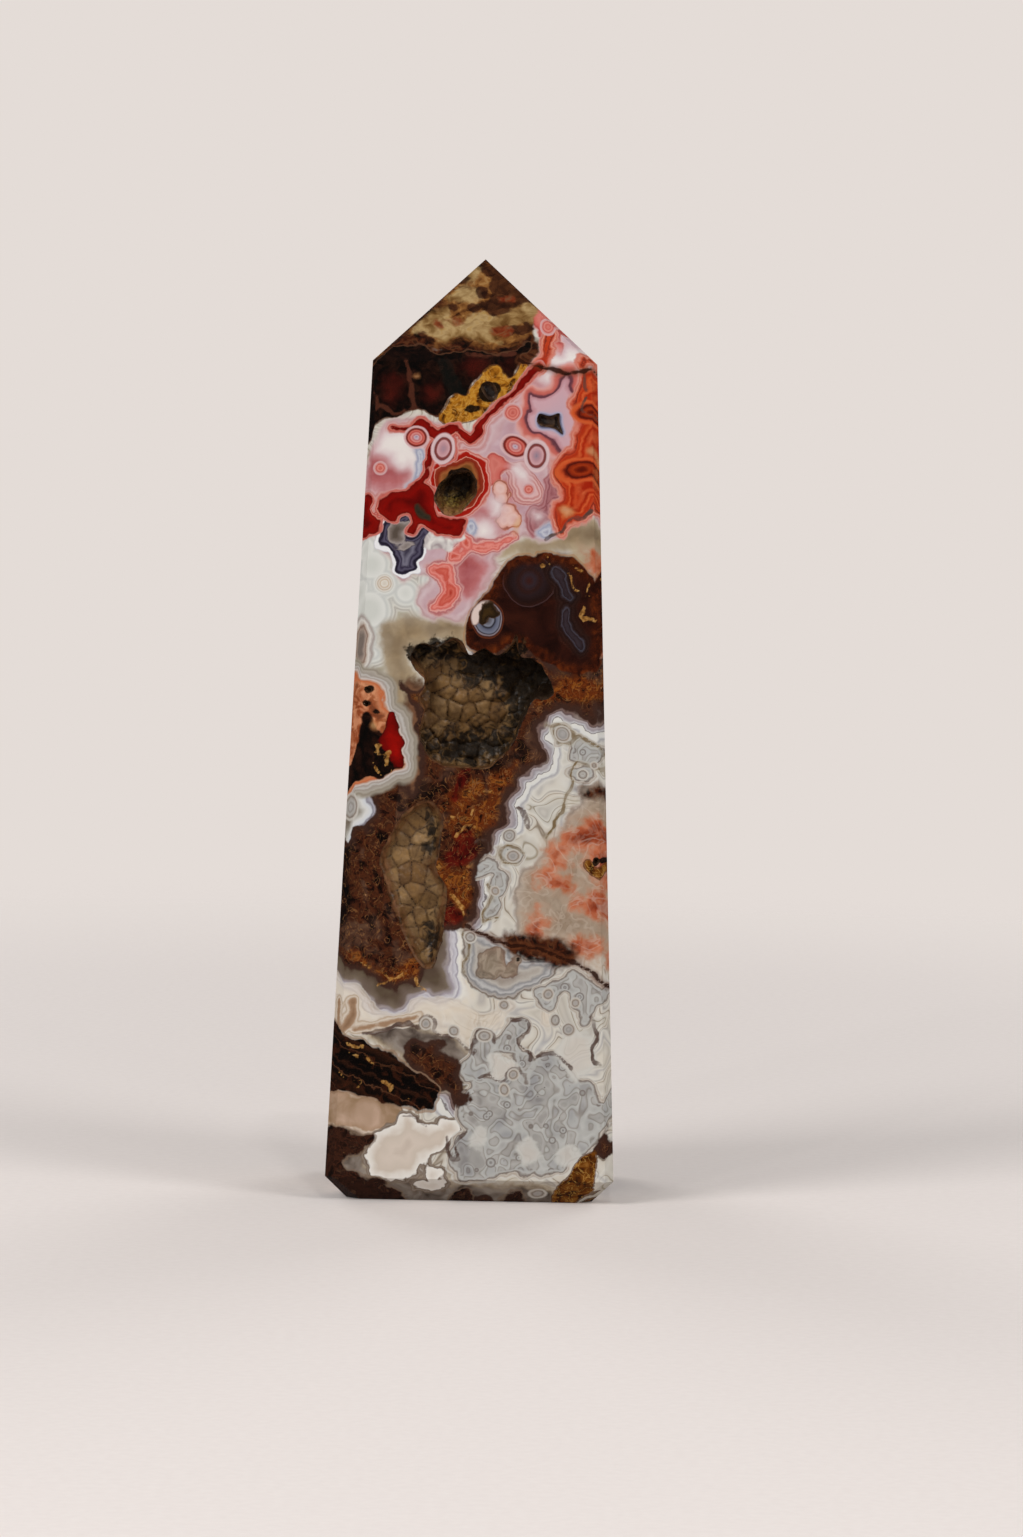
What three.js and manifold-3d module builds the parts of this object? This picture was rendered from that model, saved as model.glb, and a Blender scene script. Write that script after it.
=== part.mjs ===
// A polished crazy lace agate tower, cut from one natural stone: a tapering four-sided column with narrow
// bevelled arrises, a pyramid point and a chamfered foot. Three open hollows break its front face, and each
// is lined by its own crust of small quartz crystals.
// Millimetres, +Z up. The origin is at the middle of the foot, and the front face looks towards -Y.

import * as THREE from "three";
import { mergeVertices } from "three/addons/utils/BufferGeometryUtils.js";
import Module from "manifold-3d";

// The tower
const height = 94.5;
const shoulderHeight = 84;
const footWidth = 28.9;
const footDepth = 26.6;
const shoulderWidth = 22.4;
const shoulderDepth = 20.6;
const chamferHeight = 2.4;
const chamferInset = 2.1;
const arrisAtFoot = 0.85;
const arrisAtShoulder = 0.6;
const arrisUnderFoot = 1.4;
const apexShift = -0.2;

// The hollows and their crusts
const crustGap = 0.3; // clear space between a crust and the stone around it
const crustRecess = 0.45; // how far a crust's lip stays behind the polished face
const reach = 3; // how far a cutter stands out in front of the face
const bowlSides = 16;
const bowlRows = 10;
const sharpestInset = 0.45; // the sine of half the sharpest corner that an inset rim keeps

// The quartz points: six sides, a short shank and a pointed tip
const crystalSides = 6;
const footShare = 0.8; // radius at the buried foot, of the radius at the shank
const shankShare = 0.4; // shank, of the length
const tipShare = 0.3; // extra height of the tip, of the radius
const smallestCrystal = 0.75; // of the radius and length that a hollow states
const crystalSpread = 0.5; // from the smallest to the largest
const crystalLean = 0.7;
const crystalSpacing = 1.35; // least distance between two, of the radius
const placeTries = 60; // tries for each crystal

// Each rim is the outline of an opening in the front face, as points [x, z]. Each bowl is an ellipsoid
// centred in the face, whose back is the floor of the hollow.
const hollows = [
  {
    name: "main_vug",
    rim: [
      [-6.7, 55.0], [-5.5, 55.8], [-4.1, 55.5], [-2.7, 56.4], [-1.7, 56.0], [-0.9, 54.7], [0.3, 55.4],
      [1.7, 54.8], [2.7, 55.4], [3.6, 56.4], [4.0, 54.8], [5.3, 54.4], [6.2, 53.7], [7.4, 51.5],
      [6.7, 50.5], [5.4, 50.4], [4.6, 48.8], [3.5, 46.3], [2.8, 45.2], [1.1, 43.7], [-1.1, 43.6],
      [-3.7, 43.9], [-5.1, 45.1], [-5.7, 46.8], [-5.4, 49.1], [-5.9, 50.2], [-5.3, 52.1], [-6.5, 53.4],
    ],
    bowls: [
      { x: -0.9, z: 48.6, width: 13.4, tall: 14.2, depth: 7.4 },
      { x: 2.6, z: 51.6, width: 11.6, tall: 9.4, depth: 6.4 },
      { x: -4.2, z: 53.2, width: 7.4, tall: 7.6, depth: 4.4 },
    ],
    crystals: { count: 44, radius: 0.85, length: 1.2, wall: 0.8 },
  },
  {
    name: "upper_vug",
    rim: [
      [-4.2, 71.9], [-3.0, 72.9], [-1.4, 73.2], [-0.7, 72.4], [-0.6, 71.0], [-1.3, 69.9], [-2.1, 69.0],
      [-3.3, 68.6], [-4.3, 69.3], [-4.8, 70.5],
    ],
    bowls: [{ x: -2.6, z: 71.0, width: 6.0, tall: 6.2, depth: 3.2 }],
    crystals: { count: 14, radius: 0.5, length: 0.8, wall: 0.55 },
  },
  {
    name: "lower_channel",
    rim: [
      [-5.1, 40.3], [-3.4, 38.8], [-3.5, 36.1], [-3.9, 33.3], [-2.8, 31.3], [-3.0, 28.3], [-3.4, 25.3],
      [-4.3, 23.5], [-5.6, 24.1], [-7.0, 26.7], [-8.2, 29.7], [-9.0, 32.2], [-9.6, 34.2], [-8.8, 36.2],
      [-7.4, 38.7],
    ],
    bowls: [
      { x: -6.2, z: 34.6, width: 8.6, tall: 13.4, depth: 2.5 },
      { x: -5.0, z: 28.2, width: 6.4, tall: 12.0, depth: 2.4 },
    ],
    crystals: { count: 26, radius: 0.85, length: 0.6, wall: 0.55 },
  },
];

// Small openings with no crust of their own
const starPocket = {
  rim: [
    [5.5, 79.0], [6.5, 78.9], [7.6, 79.1], [7.6, 78.3], [8.1, 77.6], [7.8, 76.7], [7.0, 77.3], [5.4, 78.0],
  ],
  depth: 1.0,
};
const pits = [
  { x: 0.5, z: 81.2, width: 1.5, tall: 2.0, depth: 0.9 },
  { x: 11.9, z: 34.6, width: 0.8, tall: 1.0, depth: 0.6 },
  { x: -10.3, z: 49.8, width: 0.9, tall: 0.7, depth: 0.6 },
];

// The nick knocked out of the foot's front right corner
const nick = { x: 14.5, y: -12.9, z: 0.1, radius: 1.9, long: 1.2, tall: 0.9 };

const stoneColour = 0x8a6f60;
const crystalColour = 0x6b5238;

const wasm = await Module();
wasm.setup();

// The same run of numbers between 0 and 1 every time
function randomSource(seed) {
  let state = seed >>> 0;
  return () => {
    state = (Math.imul(state, 1664525) + 1013904223) >>> 0;
    return state / 4294967296;
  };
}

function solidFrom(geometry) {
  const bare = geometry.clone();
  bare.deleteAttribute("normal");
  bare.deleteAttribute("uv");
  const merged = mergeVertices(bare, 1e-4);
  return new wasm.Manifold(
    new wasm.Mesh({
      numProp: 3,
      vertProperties: new Float32Array(merged.attributes.position.array),
      triVerts: new Uint32Array(merged.index.array),
    }),
  );
}

function geometryFrom(solid) {
  const mesh = solid.getMesh();
  const geometry = new THREE.BufferGeometry();
  geometry.setAttribute("position", new THREE.BufferAttribute(mesh.vertProperties, 3));
  geometry.setIndex(new THREE.BufferAttribute(mesh.triVerts, 1));
  geometry.computeVertexNormals();
  return geometry;
}

// Eight corners of a rectangle with cut corners, anticlockwise seen from above
function ring(width, depth, arris, z) {
  const x = width / 2;
  const y = depth / 2;
  return [
    [x - arris, -y, z], [x, -y + arris, z], [x, y - arris, z], [x - arris, y, z],
    [-x + arris, y, z], [-x, y - arris, z], [-x, -y + arris, z], [-x + arris, -y, z],
  ];
}

// A closed solid through a stack of rings, flat underneath and drawn to a point on top
function towerSolid() {
  const rings = [
    ring(footWidth - 2 * chamferInset, footDepth - 2 * chamferInset, arrisUnderFoot, 0),
    ring(footWidth, footDepth, arrisAtFoot, chamferHeight),
    ring(shoulderWidth, shoulderDepth, arrisAtShoulder, shoulderHeight),
  ];
  const sides = rings[0].length;
  const points = [...rings.flat(), [0, 0, 0], [apexShift, 0, height]];
  const footCentre = points.length - 2;
  const apex = points.length - 1;
  const faces = [];
  for (let i = 0; i < sides; i += 1) {
    const next = (i + 1) % sides;
    faces.push(footCentre, next, i);
    for (let level = 0; level < rings.length - 1; level += 1) {
      const low = level * sides;
      const high = low + sides;
      faces.push(low + i, low + next, high + next);
      faces.push(low + i, high + next, high + i);
    }
    const last = (rings.length - 1) * sides;
    faces.push(last + i, last + next, apex);
  }
  const geometry = new THREE.BufferGeometry();
  geometry.setAttribute("position", new THREE.Float32BufferAttribute(points.flat(), 3));
  geometry.setIndex(faces);
  return solidFrom(geometry);
}

// Where the front face stands at height z
function frontAt(z) {
  const share = (z - chamferHeight) / (shoulderHeight - chamferHeight);
  return -(footDepth + (shoulderDepth - footDepth) * share) / 2;
}

// A rim moved inwards by a distance, each corner along its own bisector
function inset(rim, distance) {
  return rim.map((point, i) => {
    const before = rim[(i + rim.length - 1) % rim.length];
    const after = rim[(i + 1) % rim.length];
    const a = new THREE.Vector2(point[0] - before[0], point[1] - before[1]).normalize();
    const b = new THREE.Vector2(after[0] - point[0], after[1] - point[1]).normalize();
    const inward = new THREE.Vector2(a.y + b.y, -a.x - b.x).normalize();
    const half = Math.max(sharpestInset, Math.abs(inward.x * a.y - inward.y * a.x));
    return [point[0] + (inward.x * distance) / half, point[1] + (inward.y * distance) / half];
  });
}

// A rim drawn back into the stone as a straight-walled block, from front to back in y
function block(rim, front, back) {
  const outline = new THREE.Shape(rim.map(([x, z]) => new THREE.Vector2(x, z)));
  const geometry = new THREE.ExtrudeGeometry(outline, { depth: back - front, bevelEnabled: false });
  geometry.rotateX(Math.PI / 2);
  geometry.translate(0, back, 0);
  return solidFrom(geometry);
}

// A bowl as a solid ellipsoid centred in the front face, made smaller all round by a margin
function bowlSolid(bowl, margin = 0) {
  const geometry = new THREE.SphereGeometry(1, bowlSides, bowlRows);
  geometry.scale(bowl.width / 2 - margin, bowl.depth - margin, bowl.tall / 2 - margin);
  geometry.translate(bowl.x, frontAt(bowl.z), bowl.z);
  return solidFrom(geometry);
}

// The space of a hollow, made smaller all round by a margin
function space(hollow, margin = 0) {
  const front = frontAt(0) - reach;
  const bowls = hollow.bowls.map((bowl) => bowlSolid(bowl, margin)).reduce((a, b) => a.add(b));
  const rim = margin > 0 ? inset(hollow.rim, margin) : hollow.rim;
  return bowls.intersect(block(rim, front, 0));
}

// The wall of the bowls behind a point of the face: its place and the way from it to the open
function wallBehind(hollow, x, z, margin) {
  let deepest = null;
  for (const bowl of hollow.bowls) {
    const rx = bowl.width / 2 - margin;
    const ry = bowl.depth - margin;
    const rz = bowl.tall / 2 - margin;
    const u = (x - bowl.x) / rx;
    const w = (z - bowl.z) / rz;
    const left = 1 - u * u - w * w;
    if (left <= 0) continue;
    const y = frontAt(bowl.z) + ry * Math.sqrt(left);
    if (deepest && y <= deepest.place.y) continue;
    deepest = {
      place: new THREE.Vector3(x, y, z),
      open: new THREE.Vector3(-u / rx, -Math.sqrt(left) / ry, -w / rz).normalize(),
    };
  }
  return deepest;
}

// One six-sided quartz point, its foot at the origin and its tip along +Y
function crystalGeometry(radius, length) {
  const foot = -radius;
  const tip = length + radius * tipShare;
  const profile = [[0, foot], [radius * footShare, foot], [radius, length * shankShare], [0, tip]];
  return new THREE.LatheGeometry(profile.map(([r, y]) => new THREE.Vector2(r, y)), crystalSides);
}

function isInside(rim, x, z) {
  let inside = false;
  for (let i = 0, j = rim.length - 1; i < rim.length; j = i, i += 1) {
    const [xi, zi] = rim[i];
    const [xj, zj] = rim[j];
    if (zi > z !== zj > z && x < ((xj - xi) * (z - zi)) / (zj - zi) + xi) inside = !inside;
  }
  return inside;
}

// Places for the crystals: points inside the rim that keep their distance from each other
function crystalPlaces(hollow, random) {
  const { count, radius } = hollow.crystals;
  const xs = hollow.rim.map(([x]) => x);
  const zs = hollow.rim.map(([, z]) => z);
  const low = [Math.min(...xs), Math.min(...zs)];
  const size = [Math.max(...xs) - low[0], Math.max(...zs) - low[1]];
  const places = [];
  for (let tries = 0; tries < count * placeTries && places.length < count; tries += 1) {
    const x = low[0] + size[0] * random();
    const z = low[1] + size[1] * random();
    const clear = places.every(([px, pz]) => Math.hypot(px - x, pz - z) > radius * crystalSpacing);
    if (clear && isInside(hollow.rim, x, z)) places.push([x, z]);
  }
  return places;
}

// A crust: a thin shell on the wall of a hollow with crystals grown from it, in one solid
function crustSolid(hollow, stone, seed) {
  const random = randomSource(seed);
  const { radius, length, wall } = hollow.crystals;
  const outer = space(hollow, crustGap);
  let crust = outer.subtract(space(hollow, crustGap + wall));
  const up = new THREE.Vector3(0, 1, 0);
  for (const [x, z] of crystalPlaces(hollow, random)) {
    const wallHere = wallBehind(hollow, x, z, crustGap + wall);
    const grow = smallestCrystal + crystalSpread * random();
    const lean = new THREE.Vector3(random() - 0.5, 0, random() - 0.5).multiplyScalar(crystalLean);
    if (!wallHere) continue;
    const geometry = crystalGeometry(radius * grow, length * grow);
    geometry.rotateY(random() * Math.PI);
    const turn = new THREE.Quaternion().setFromUnitVectors(up, wallHere.open.add(lean).normalize());
    geometry.applyQuaternion(turn);
    geometry.translate(wallHere.place.x, wallHere.place.y, wallHere.place.z);
    crust = crust.add(solidFrom(geometry));
  }
  const kept = crust.intersect(outer).intersect(stone.translate([0, crustRecess, 0]));
  return kept.decompose().reduce((a, b) => (a.volume() > b.volume() ? a : b));
}

function nickSolid() {
  const geometry = new THREE.IcosahedronGeometry(nick.radius, 1);
  geometry.scale(1, nick.long, nick.tall);
  geometry.translate(nick.x, nick.y, nick.z);
  return solidFrom(geometry);
}

function starSolid() {
  const middle = starPocket.rim[0][1];
  return block(starPocket.rim, frontAt(middle) - reach, frontAt(middle) + starPocket.depth);
}

function namedMesh(name, solid, colour, roughness) {
  const material = new THREE.MeshStandardMaterial({ color: colour, roughness, metalness: 0 });
  const mesh = new THREE.Mesh(geometryFrom(solid), material);
  mesh.name = name;
  return mesh;
}

const stone = towerSolid();
const cutters = [...hollows.map((hollow) => space(hollow)), starSolid(), nickSolid()];
const pitCutters = pits.map((pit) => bowlSolid(pit));
const cutStone = [...cutters, ...pitCutters].reduce((left, cutter) => left.subtract(cutter), stone);

const tower = new THREE.Group();
tower.add(namedMesh("agate_tower", cutStone, stoneColour, 0.12));
hollows.forEach((hollow, i) => {
  tower.add(namedMesh(`${hollow.name}_crystals`, crustSolid(hollow, stone, 11 + i), crystalColour, 0.3));
});

export default tower;
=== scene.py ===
# %% [markdown]
# # A crazy lace agate tower
# The object is one stone: a tapering four-sided column, cut and polished, with a pyramid point, a
# chamfered foot, and a few natural hollows that the saw opened. Everything that makes it this stone is in
# its surface, so the lesson is mostly about painting stone with shader nodes. The shapes come first, then
# the paint.

# %% Load the frame
import math

import bmesh
import bpy
import numpy as np
from mathutils import Matrix, Vector, noise
from mathutils.geometry import delaunay_2d_cdt


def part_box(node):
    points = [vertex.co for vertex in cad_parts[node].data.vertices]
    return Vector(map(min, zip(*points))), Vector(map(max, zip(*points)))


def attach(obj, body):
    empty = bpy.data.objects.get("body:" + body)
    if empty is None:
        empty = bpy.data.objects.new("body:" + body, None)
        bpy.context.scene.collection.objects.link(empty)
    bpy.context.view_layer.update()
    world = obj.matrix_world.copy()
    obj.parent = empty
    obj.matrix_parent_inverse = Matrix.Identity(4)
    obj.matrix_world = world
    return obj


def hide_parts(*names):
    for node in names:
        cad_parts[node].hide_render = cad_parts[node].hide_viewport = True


NOISE_SEED = 7  # without a seed, noise.noise_vector is different in each run
noise.seed_set(NOISE_SEED)

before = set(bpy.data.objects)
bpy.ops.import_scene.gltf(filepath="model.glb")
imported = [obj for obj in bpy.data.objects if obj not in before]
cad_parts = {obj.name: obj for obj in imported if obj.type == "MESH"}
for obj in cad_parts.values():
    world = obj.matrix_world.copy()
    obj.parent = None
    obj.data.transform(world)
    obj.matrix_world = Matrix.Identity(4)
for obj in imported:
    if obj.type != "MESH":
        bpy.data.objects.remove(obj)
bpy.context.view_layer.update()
print("nodes in the frame:", sorted(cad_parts))

# %% [markdown]
# ## The sizes
# Lengths below are millimetres, which suit a stone of this size, and meshes are scaled to metres as they
# are made. The outer sizes are read from the frame. The rest are the sizes that the column is cut to.

# %% Sizes of the column
MM = 0.001
low, high = (np.array(corner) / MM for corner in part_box("agate_tower"))
FOOT_WIDTH, FOOT_DEPTH, HEIGHT = high - low
SHOULDER = 84.0
SHOULDER_WIDTH = 22.4
SHOULDER_DEPTH = 20.6
CHAMFER = 2.4
CHAMFER_INSET = 2.1
APEX_SHIFT = -0.2

# The stone's half width, half depth and corner cut, level by level
LEVELS = [0.0, CHAMFER, SHOULDER, HEIGHT]
HALF_WIDTHS = [FOOT_WIDTH / 2 - CHAMFER_INSET, FOOT_WIDTH / 2, SHOULDER_WIDTH / 2, 0.0]
HALF_DEPTHS = [FOOT_DEPTH / 2 - CHAMFER_INSET, FOOT_DEPTH / 2, SHOULDER_DEPTH / 2, 0.0]
CORNER_CUTS = [1.4, 0.85, 0.6, 0.0]


def front_at(z):
    """Where the polished front face stands at height z."""
    return -np.interp(z, LEVELS, HALF_DEPTHS)


print(f"column {FOOT_WIDTH:.1f} x {FOOT_DEPTH:.1f} x {HEIGHT:.1f} mm")

# %% [markdown]
# ## Reading places off the photograph
# The colours were set out over the photograph, so that is how their points are written: as pixels of
# seven enlarged windows, A at the tip to G at the foot. Four facts turn them into millimetres on the
# front face: the size of a pixel there, how far the tower leans in the picture, the pixel at the middle
# of its foot, and where each window is. The hollows are cut in the frame too, so their rims are in its
# own millimetres.

# %% From the photograph to the front face
PIXEL = 0.1  # millimetres of the front face to a pixel of the photograph
LEAN = math.radians(1.05)
FOOT_PIXEL = (469.0, 1203.5)
ENLARGED = 1568  # pixels across an enlarged window
# Each window's left, top and width in the photograph
WINDOWS = {
    "A": (360, 250, 252), "B": (360, 415, 252), "C": (350, 545, 262), "D": (340, 690, 280),
    "E": (332, 830, 288), "F": (325, 965, 300), "G": (320, 1080, 300),
}
TENTH = 0.1


def unit_of(text):
    """The millimetres to one unit of the numbers in a text."""
    return PIXEL * WINDOWS[text[0]][2] / ENLARGED if text[0] in WINDOWS else TENTH


def on_face(window, u, v):
    """A pixel of an enlarged window, in millimetres across and up the front face."""
    left, top, width = WINDOWS[window]
    right = left + u * width / ENLARGED - FOOT_PIXEL[0]
    down = top + v * width / ENLARGED - FOOT_PIXEL[1]
    across = right * math.cos(LEAN) + down * math.sin(LEAN)
    up = right * math.sin(LEAN) - down * math.cos(LEAN)
    return PIXEL * across, PIXEL * up


def points_of(text):
    """Points from pairs such as "B 90,200 150,120". With no window, they are tenths of a millimetre."""
    window, points = None, []
    for word in text.split():
        if word in WINDOWS:
            window = word
            continue
        u, v = (float(number) for number in word.split(","))
        points.append(on_face(window, u, v) if window else (u * TENTH, v * TENTH))
    return np.array(points)


print("the tip in the picture:", points_of("A 765,45")[0].round(1))

# %% [markdown]
# ## Outlines on the front face
# A colour patch, a vein or a hollow is a shape on the front face. Each is kept as a function that tells
# how far inside it a point is, in millimetres, and minus the distance outside. That number is worth more
# than a yes or no: agate is banded along the edges of its patches, and bands are lines of equal distance.

# %% Shapes as distances
REACH = 3.0  # distances are only worked out this far outside a shape
CHUNK = 6000  # points handled at a time, to save memory
TINY = 1e-9  # stands in for a length of nothing, so that it can divide


def smooth_loop(points, steps=5, closed=True):
    """A Catmull-Rom curve through the points."""
    p = points_of(points)
    if closed:
        a, b, c, d = np.roll(p, 1, 0), p, np.roll(p, -1, 0), np.roll(p, -2, 0)
    else:
        ends = np.vstack([2 * p[0] - p[1], p, 2 * p[-1] - p[-2]])
        a, b, c, d = ends[:-3], ends[1:-2], ends[2:-1], ends[3:]
    t = (np.arange(steps) / steps)[None, :, None]
    a, b, c, d = (v[:, None, :] for v in (a, b, c, d))
    square, cube = 2 * a - 5 * b + 4 * c - d, 3 * b - a - 3 * c + d
    curve = 0.5 * (2 * b + (c - a) * t + square * t**2 + cube * t**3)
    curve = curve.reshape(-1, 2)
    return curve if closed else np.vstack([curve, p[-1]])


def gap_to(start, end, x, z):
    """Distance from points to the nearest of some straight pieces."""
    edge = end - start
    length = np.maximum((edge**2).sum(1), TINY)
    dx, dz = x[:, None] - start[:, 0], z[:, None] - start[:, 1]
    t = np.clip((dx * edge[:, 0] + dz * edge[:, 1]) / length, 0, 1)
    return np.hypot(dx - t * edge[:, 0], dz - t * edge[:, 1]).min(1)


def inside_of(start, end, x, z):
    """Whether points are inside a closed loop of straight pieces."""
    rise = end[:, 1] - start[:, 1]
    rise = np.where(rise == 0, TINY, rise)
    passes = (start[:, 1] > z[:, None]) != (end[:, 1] > z[:, None])
    cross = start[:, 0] + (end[:, 0] - start[:, 0]) * (z[:, None] - start[:, 1]) / rise
    return (passes & (x[:, None] < cross)).sum(1) % 2 == 1


def near_only(corners, measure):
    """Calls measure only on the points near a shape. The rest are simply far outside."""
    (x0, z0), (x1, z1) = corners.min(0) - REACH, corners.max(0) + REACH

    def distance(x, z):
        found = np.full(x.shape, -REACH)
        near = np.flatnonzero((x > x0) & (x < x1) & (z > z0) & (z < z1))
        for part in np.array_split(near, max(1, near.size // CHUNK)):
            if part.size:
                found[part] = np.maximum(measure(x[part], z[part]), -REACH)
        return found

    return distance


def area(points):
    """A filled patch with a smooth outline."""
    start = smooth_loop(points)
    end = np.roll(start, -1, 0)

    def measure(x, z):
        gap = gap_to(start, end, x, z)
        return np.where(inside_of(start, end, x, z), gap, -gap)

    return near_only(start, measure)


def line(width, points):
    """A vein of even width along a smooth curve."""
    curve = smooth_loop(points, closed=False)
    return near_only(curve, lambda x, z: width / 2 - gap_to(curve[:-1], curve[1:], x, z))


def disc(middle, rx, rz=None, turn=0):
    """A round or oval patch, turned anticlockwise by some degrees, with radii in the units of its place."""
    x0, z0 = points_of(middle)[0]
    rx, rz = rx * unit_of(middle), (rz or rx) * unit_of(middle)
    c, s = math.cos(math.radians(turn)), math.sin(math.radians(turn))
    corners = np.array([[x0 - max(rx, rz), z0 - max(rx, rz)], [x0 + max(rx, rz), z0 + max(rx, rz)]])

    def measure(x, z):
        u = ((x - x0) * c + (z - z0) * s) / rx
        w = ((z - z0) * c - (x - x0) * s) / rz
        return (1 - np.hypot(u, w)) * min(rx, rz)

    return near_only(corners, measure)


def union(shapes, x, z):
    """How far inside the nearest of several shapes each point is."""
    return np.maximum.reduce([shape(x, z) for shape in shapes])


print("a disc of radius 2 mm at its middle:", disc("0,0", 20)(np.zeros(1), np.zeros(1))[0])

# %% [markdown]
# ## The column
# The real column was sawn and lapped flat, so its shape is simple: eight flats from foot to shoulder,
# which then meet at the point. It could be a few large faces, but the paint is laid on the mesh's own
# points, so the front is a fine net, a quarter of a millimetre to a step, and the faces that carry less
# are coarser. The rings all have the same number of points, and the mesh is closed.

# %% Build the column
FINE = 0.25
COARSE = 0.8
CORNER_STEPS = 2
CHAMFER_ROWS = 9
TIP_ROWS = 46
CRISP = 25  # edges sharper than this many degrees stay crisp

FRONT_STEPS = round(FOOT_WIDTH / FINE)
SIDE_STEPS = round(FOOT_DEPTH / COARSE)
BACK_STEPS = round(FOOT_WIDTH / COARSE)


def sizes_at(z):
    """The column's half width, half depth and corner cut at height z."""
    return [np.interp(z, LEVELS, sizes) for sizes in (HALF_WIDTHS, HALF_DEPTHS, CORNER_CUTS)]


def ring_at(z):
    """One ring of points round the column at height z, anticlockwise seen from above."""
    hx, hy, cut = sizes_at(z)
    shift = APEX_SHIFT * max(0.0, z - SHOULDER) / (HEIGHT - SHOULDER)
    corners = [
        (-hx + cut, -hy), (hx - cut, -hy), (hx, -hy + cut), (hx, hy - cut),
        (hx - cut, hy), (-hx + cut, hy), (-hx, hy - cut), (-hx, -hy + cut),
    ]
    sides = [FRONT_STEPS, SIDE_STEPS, BACK_STEPS, SIDE_STEPS]
    steps = [count for side in sides for count in (side, CORNER_STEPS)]
    points = []
    for i, count in enumerate(steps):
        a, b = np.array(corners[i]), np.array(corners[(i + 1) % len(corners)])
        points += [(*(a + (b - a) * k / count + (shift, 0)), z) for k in range(count)]
    return points


def link(name, data):
    """Puts a mesh, a lamp or a camera into the scene as an object."""
    piece = bpy.data.objects.new(name, data)
    bpy.context.collection.objects.link(piece)
    return piece


def smooth_faces(mesh, angle):
    """Shades a mesh smoothly, with edges sharper than an angle kept crisp."""
    mesh.polygons.foreach_set("use_smooth", [True] * len(mesh.polygons))
    mesh.set_sharp_from_angle(angle=math.radians(angle))


def mesh_object(name, points, faces, angle=CRISP):
    """A smoothly shaded object from points in millimetres."""
    mesh = bpy.data.meshes.new(name)
    mesh.from_pydata([[v * MM for v in p] for p in points], [], faces)
    mesh.update()
    smooth_faces(mesh, angle)
    return link(name, mesh)


def column_mesh():
    """The closed column: rings of points from the foot up, and one point at the top."""
    rows = np.concatenate([
        np.linspace(0, CHAMFER, CHAMFER_ROWS, endpoint=False),
        np.linspace(CHAMFER, SHOULDER, round((SHOULDER - CHAMFER) / FINE), endpoint=False),
        np.linspace(SHOULDER, HEIGHT, TIP_ROWS, endpoint=False),
    ])
    rings = [ring_at(z) for z in rows]
    around = len(rings[0])
    points = [p for ring in rings for p in ring] + [(APEX_SHIFT, 0.0, HEIGHT)]
    faces = [list(range(around))[::-1]]
    for level in range(len(rings) - 1):
        for i in range(around):
            j = (i + 1) % around
            a, b = level * around, (level + 1) * around
            faces.append([a + i, a + j, b + j, b + i])
    top = (len(rings) - 1) * around
    faces += [[top + i, top + (i + 1) % around, len(points) - 1] for i in range(around)]
    return mesh_object("stone", points, faces)


stone = column_mesh()
print("column:", len(stone.data.vertices), "points,", len(stone.data.polygons), "faces")

# %% [markdown]
# ## The hollows
# The stone grew around open pockets, and the saw cut through them. A pocket is wider behind its mouth
# than at it, with a knobbly wall. Its mouth is drawn as an outline. Behind it the wall is a sheet of
# points pushed back into the stone by a depth that comes from a few bowls and some noise, and spread
# outwards as it goes back, so that the rim overhangs. The same sheet makes the cutter for the stone and,
# moved forward a little, the crust of crystals that lines the pocket.

# %% Hollow outlines and depths
# A bowl is its middle, across and up, then its width, height and depth. A mound is its middle, how far
# it spreads across and up, and its rise. Flare and lift are how much a wall spreads and climbs as it goes
# back, and lip is its depth at the rim. Cell is the width of one knob of crystals, knob is how far the
# knob stands out, and roughness is the size of the bumps behind it.
HOLLOWS = {
    "main_vug": {
        "rim": (
            "-67,550 -55,558 -41,555 -27,564 -17,560 -9,547 3,554 17,548 27,554 36,568 40,548 "
            "53,544 62,537 74,515 67,505 54,504 46,488 35,463 28,452 11,437 -11,436 -37,439 "
            "-51,451 -57,468 -54,491 -59,502 -53,521 -65,534"
        ),
        "bowls": [(-0.9, 48.6, 13.4, 14.2, 6.2), (2.6, 51.6, 11.6, 9.4, 5.6),
        (-4.2, 53.2, 7.4, 7.6, 3.8)],
        "mound": (-1.2, 50.4, 4.6, 3.4, 2.6),
        "flare": 0.16, "lift": 0.10, "lip": 0.5, "cell": 1.15, "knob": 0.34, "roughness": 0.26,
    },
    "upper_vug": {
        "rim": "-42,719 -30,729 -14,732 -7,724 -6,710 -13,699 -21,690 -33,686 -43,693 -48,705",
        "bowls": [(-2.6, 71.0, 6.0, 6.2, 2.9)],
        "mound": (-3.4, 69.4, 1.2, 1.0, 0.8),
        "flare": 0.10, "lift": 0.05, "lip": 0.4, "cell": 0.55, "knob": 0.20, "roughness": 0.22,
    },
    "lower_channel": {
        "rim": (
            "-51,403 -34,388 -35,361 -39,333 -28,313 -30,283 -34,253 -43,235 -56,241 -70,267 "
            "-82,297 -90,322 -96,342 -88,362 -74,387"
        ),
        "bowls": [(-6.2, 34.6, 8.6, 13.4, 2.1), (-5.0, 28.2, 6.4, 12.0, 2.0)],
        "mound": (-6.4, 33.0, 2.6, 5.0, 0.9),
        "flare": 0.06, "lift": 0.02, "lip": 0.25, "cell": 1.15, "knob": 0.17, "roughness": 0.14,
    },
}
RIM_STEPS = 6
RIM_WOBBLE = 0.16
WOBBLE_SIZE = 0.7
WOBBLE_SLICE = 7.0  # the wobble is read from the noise at this height
RIM_RISE = 0.9  # the wall reaches its full depth this far in from the rim
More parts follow.
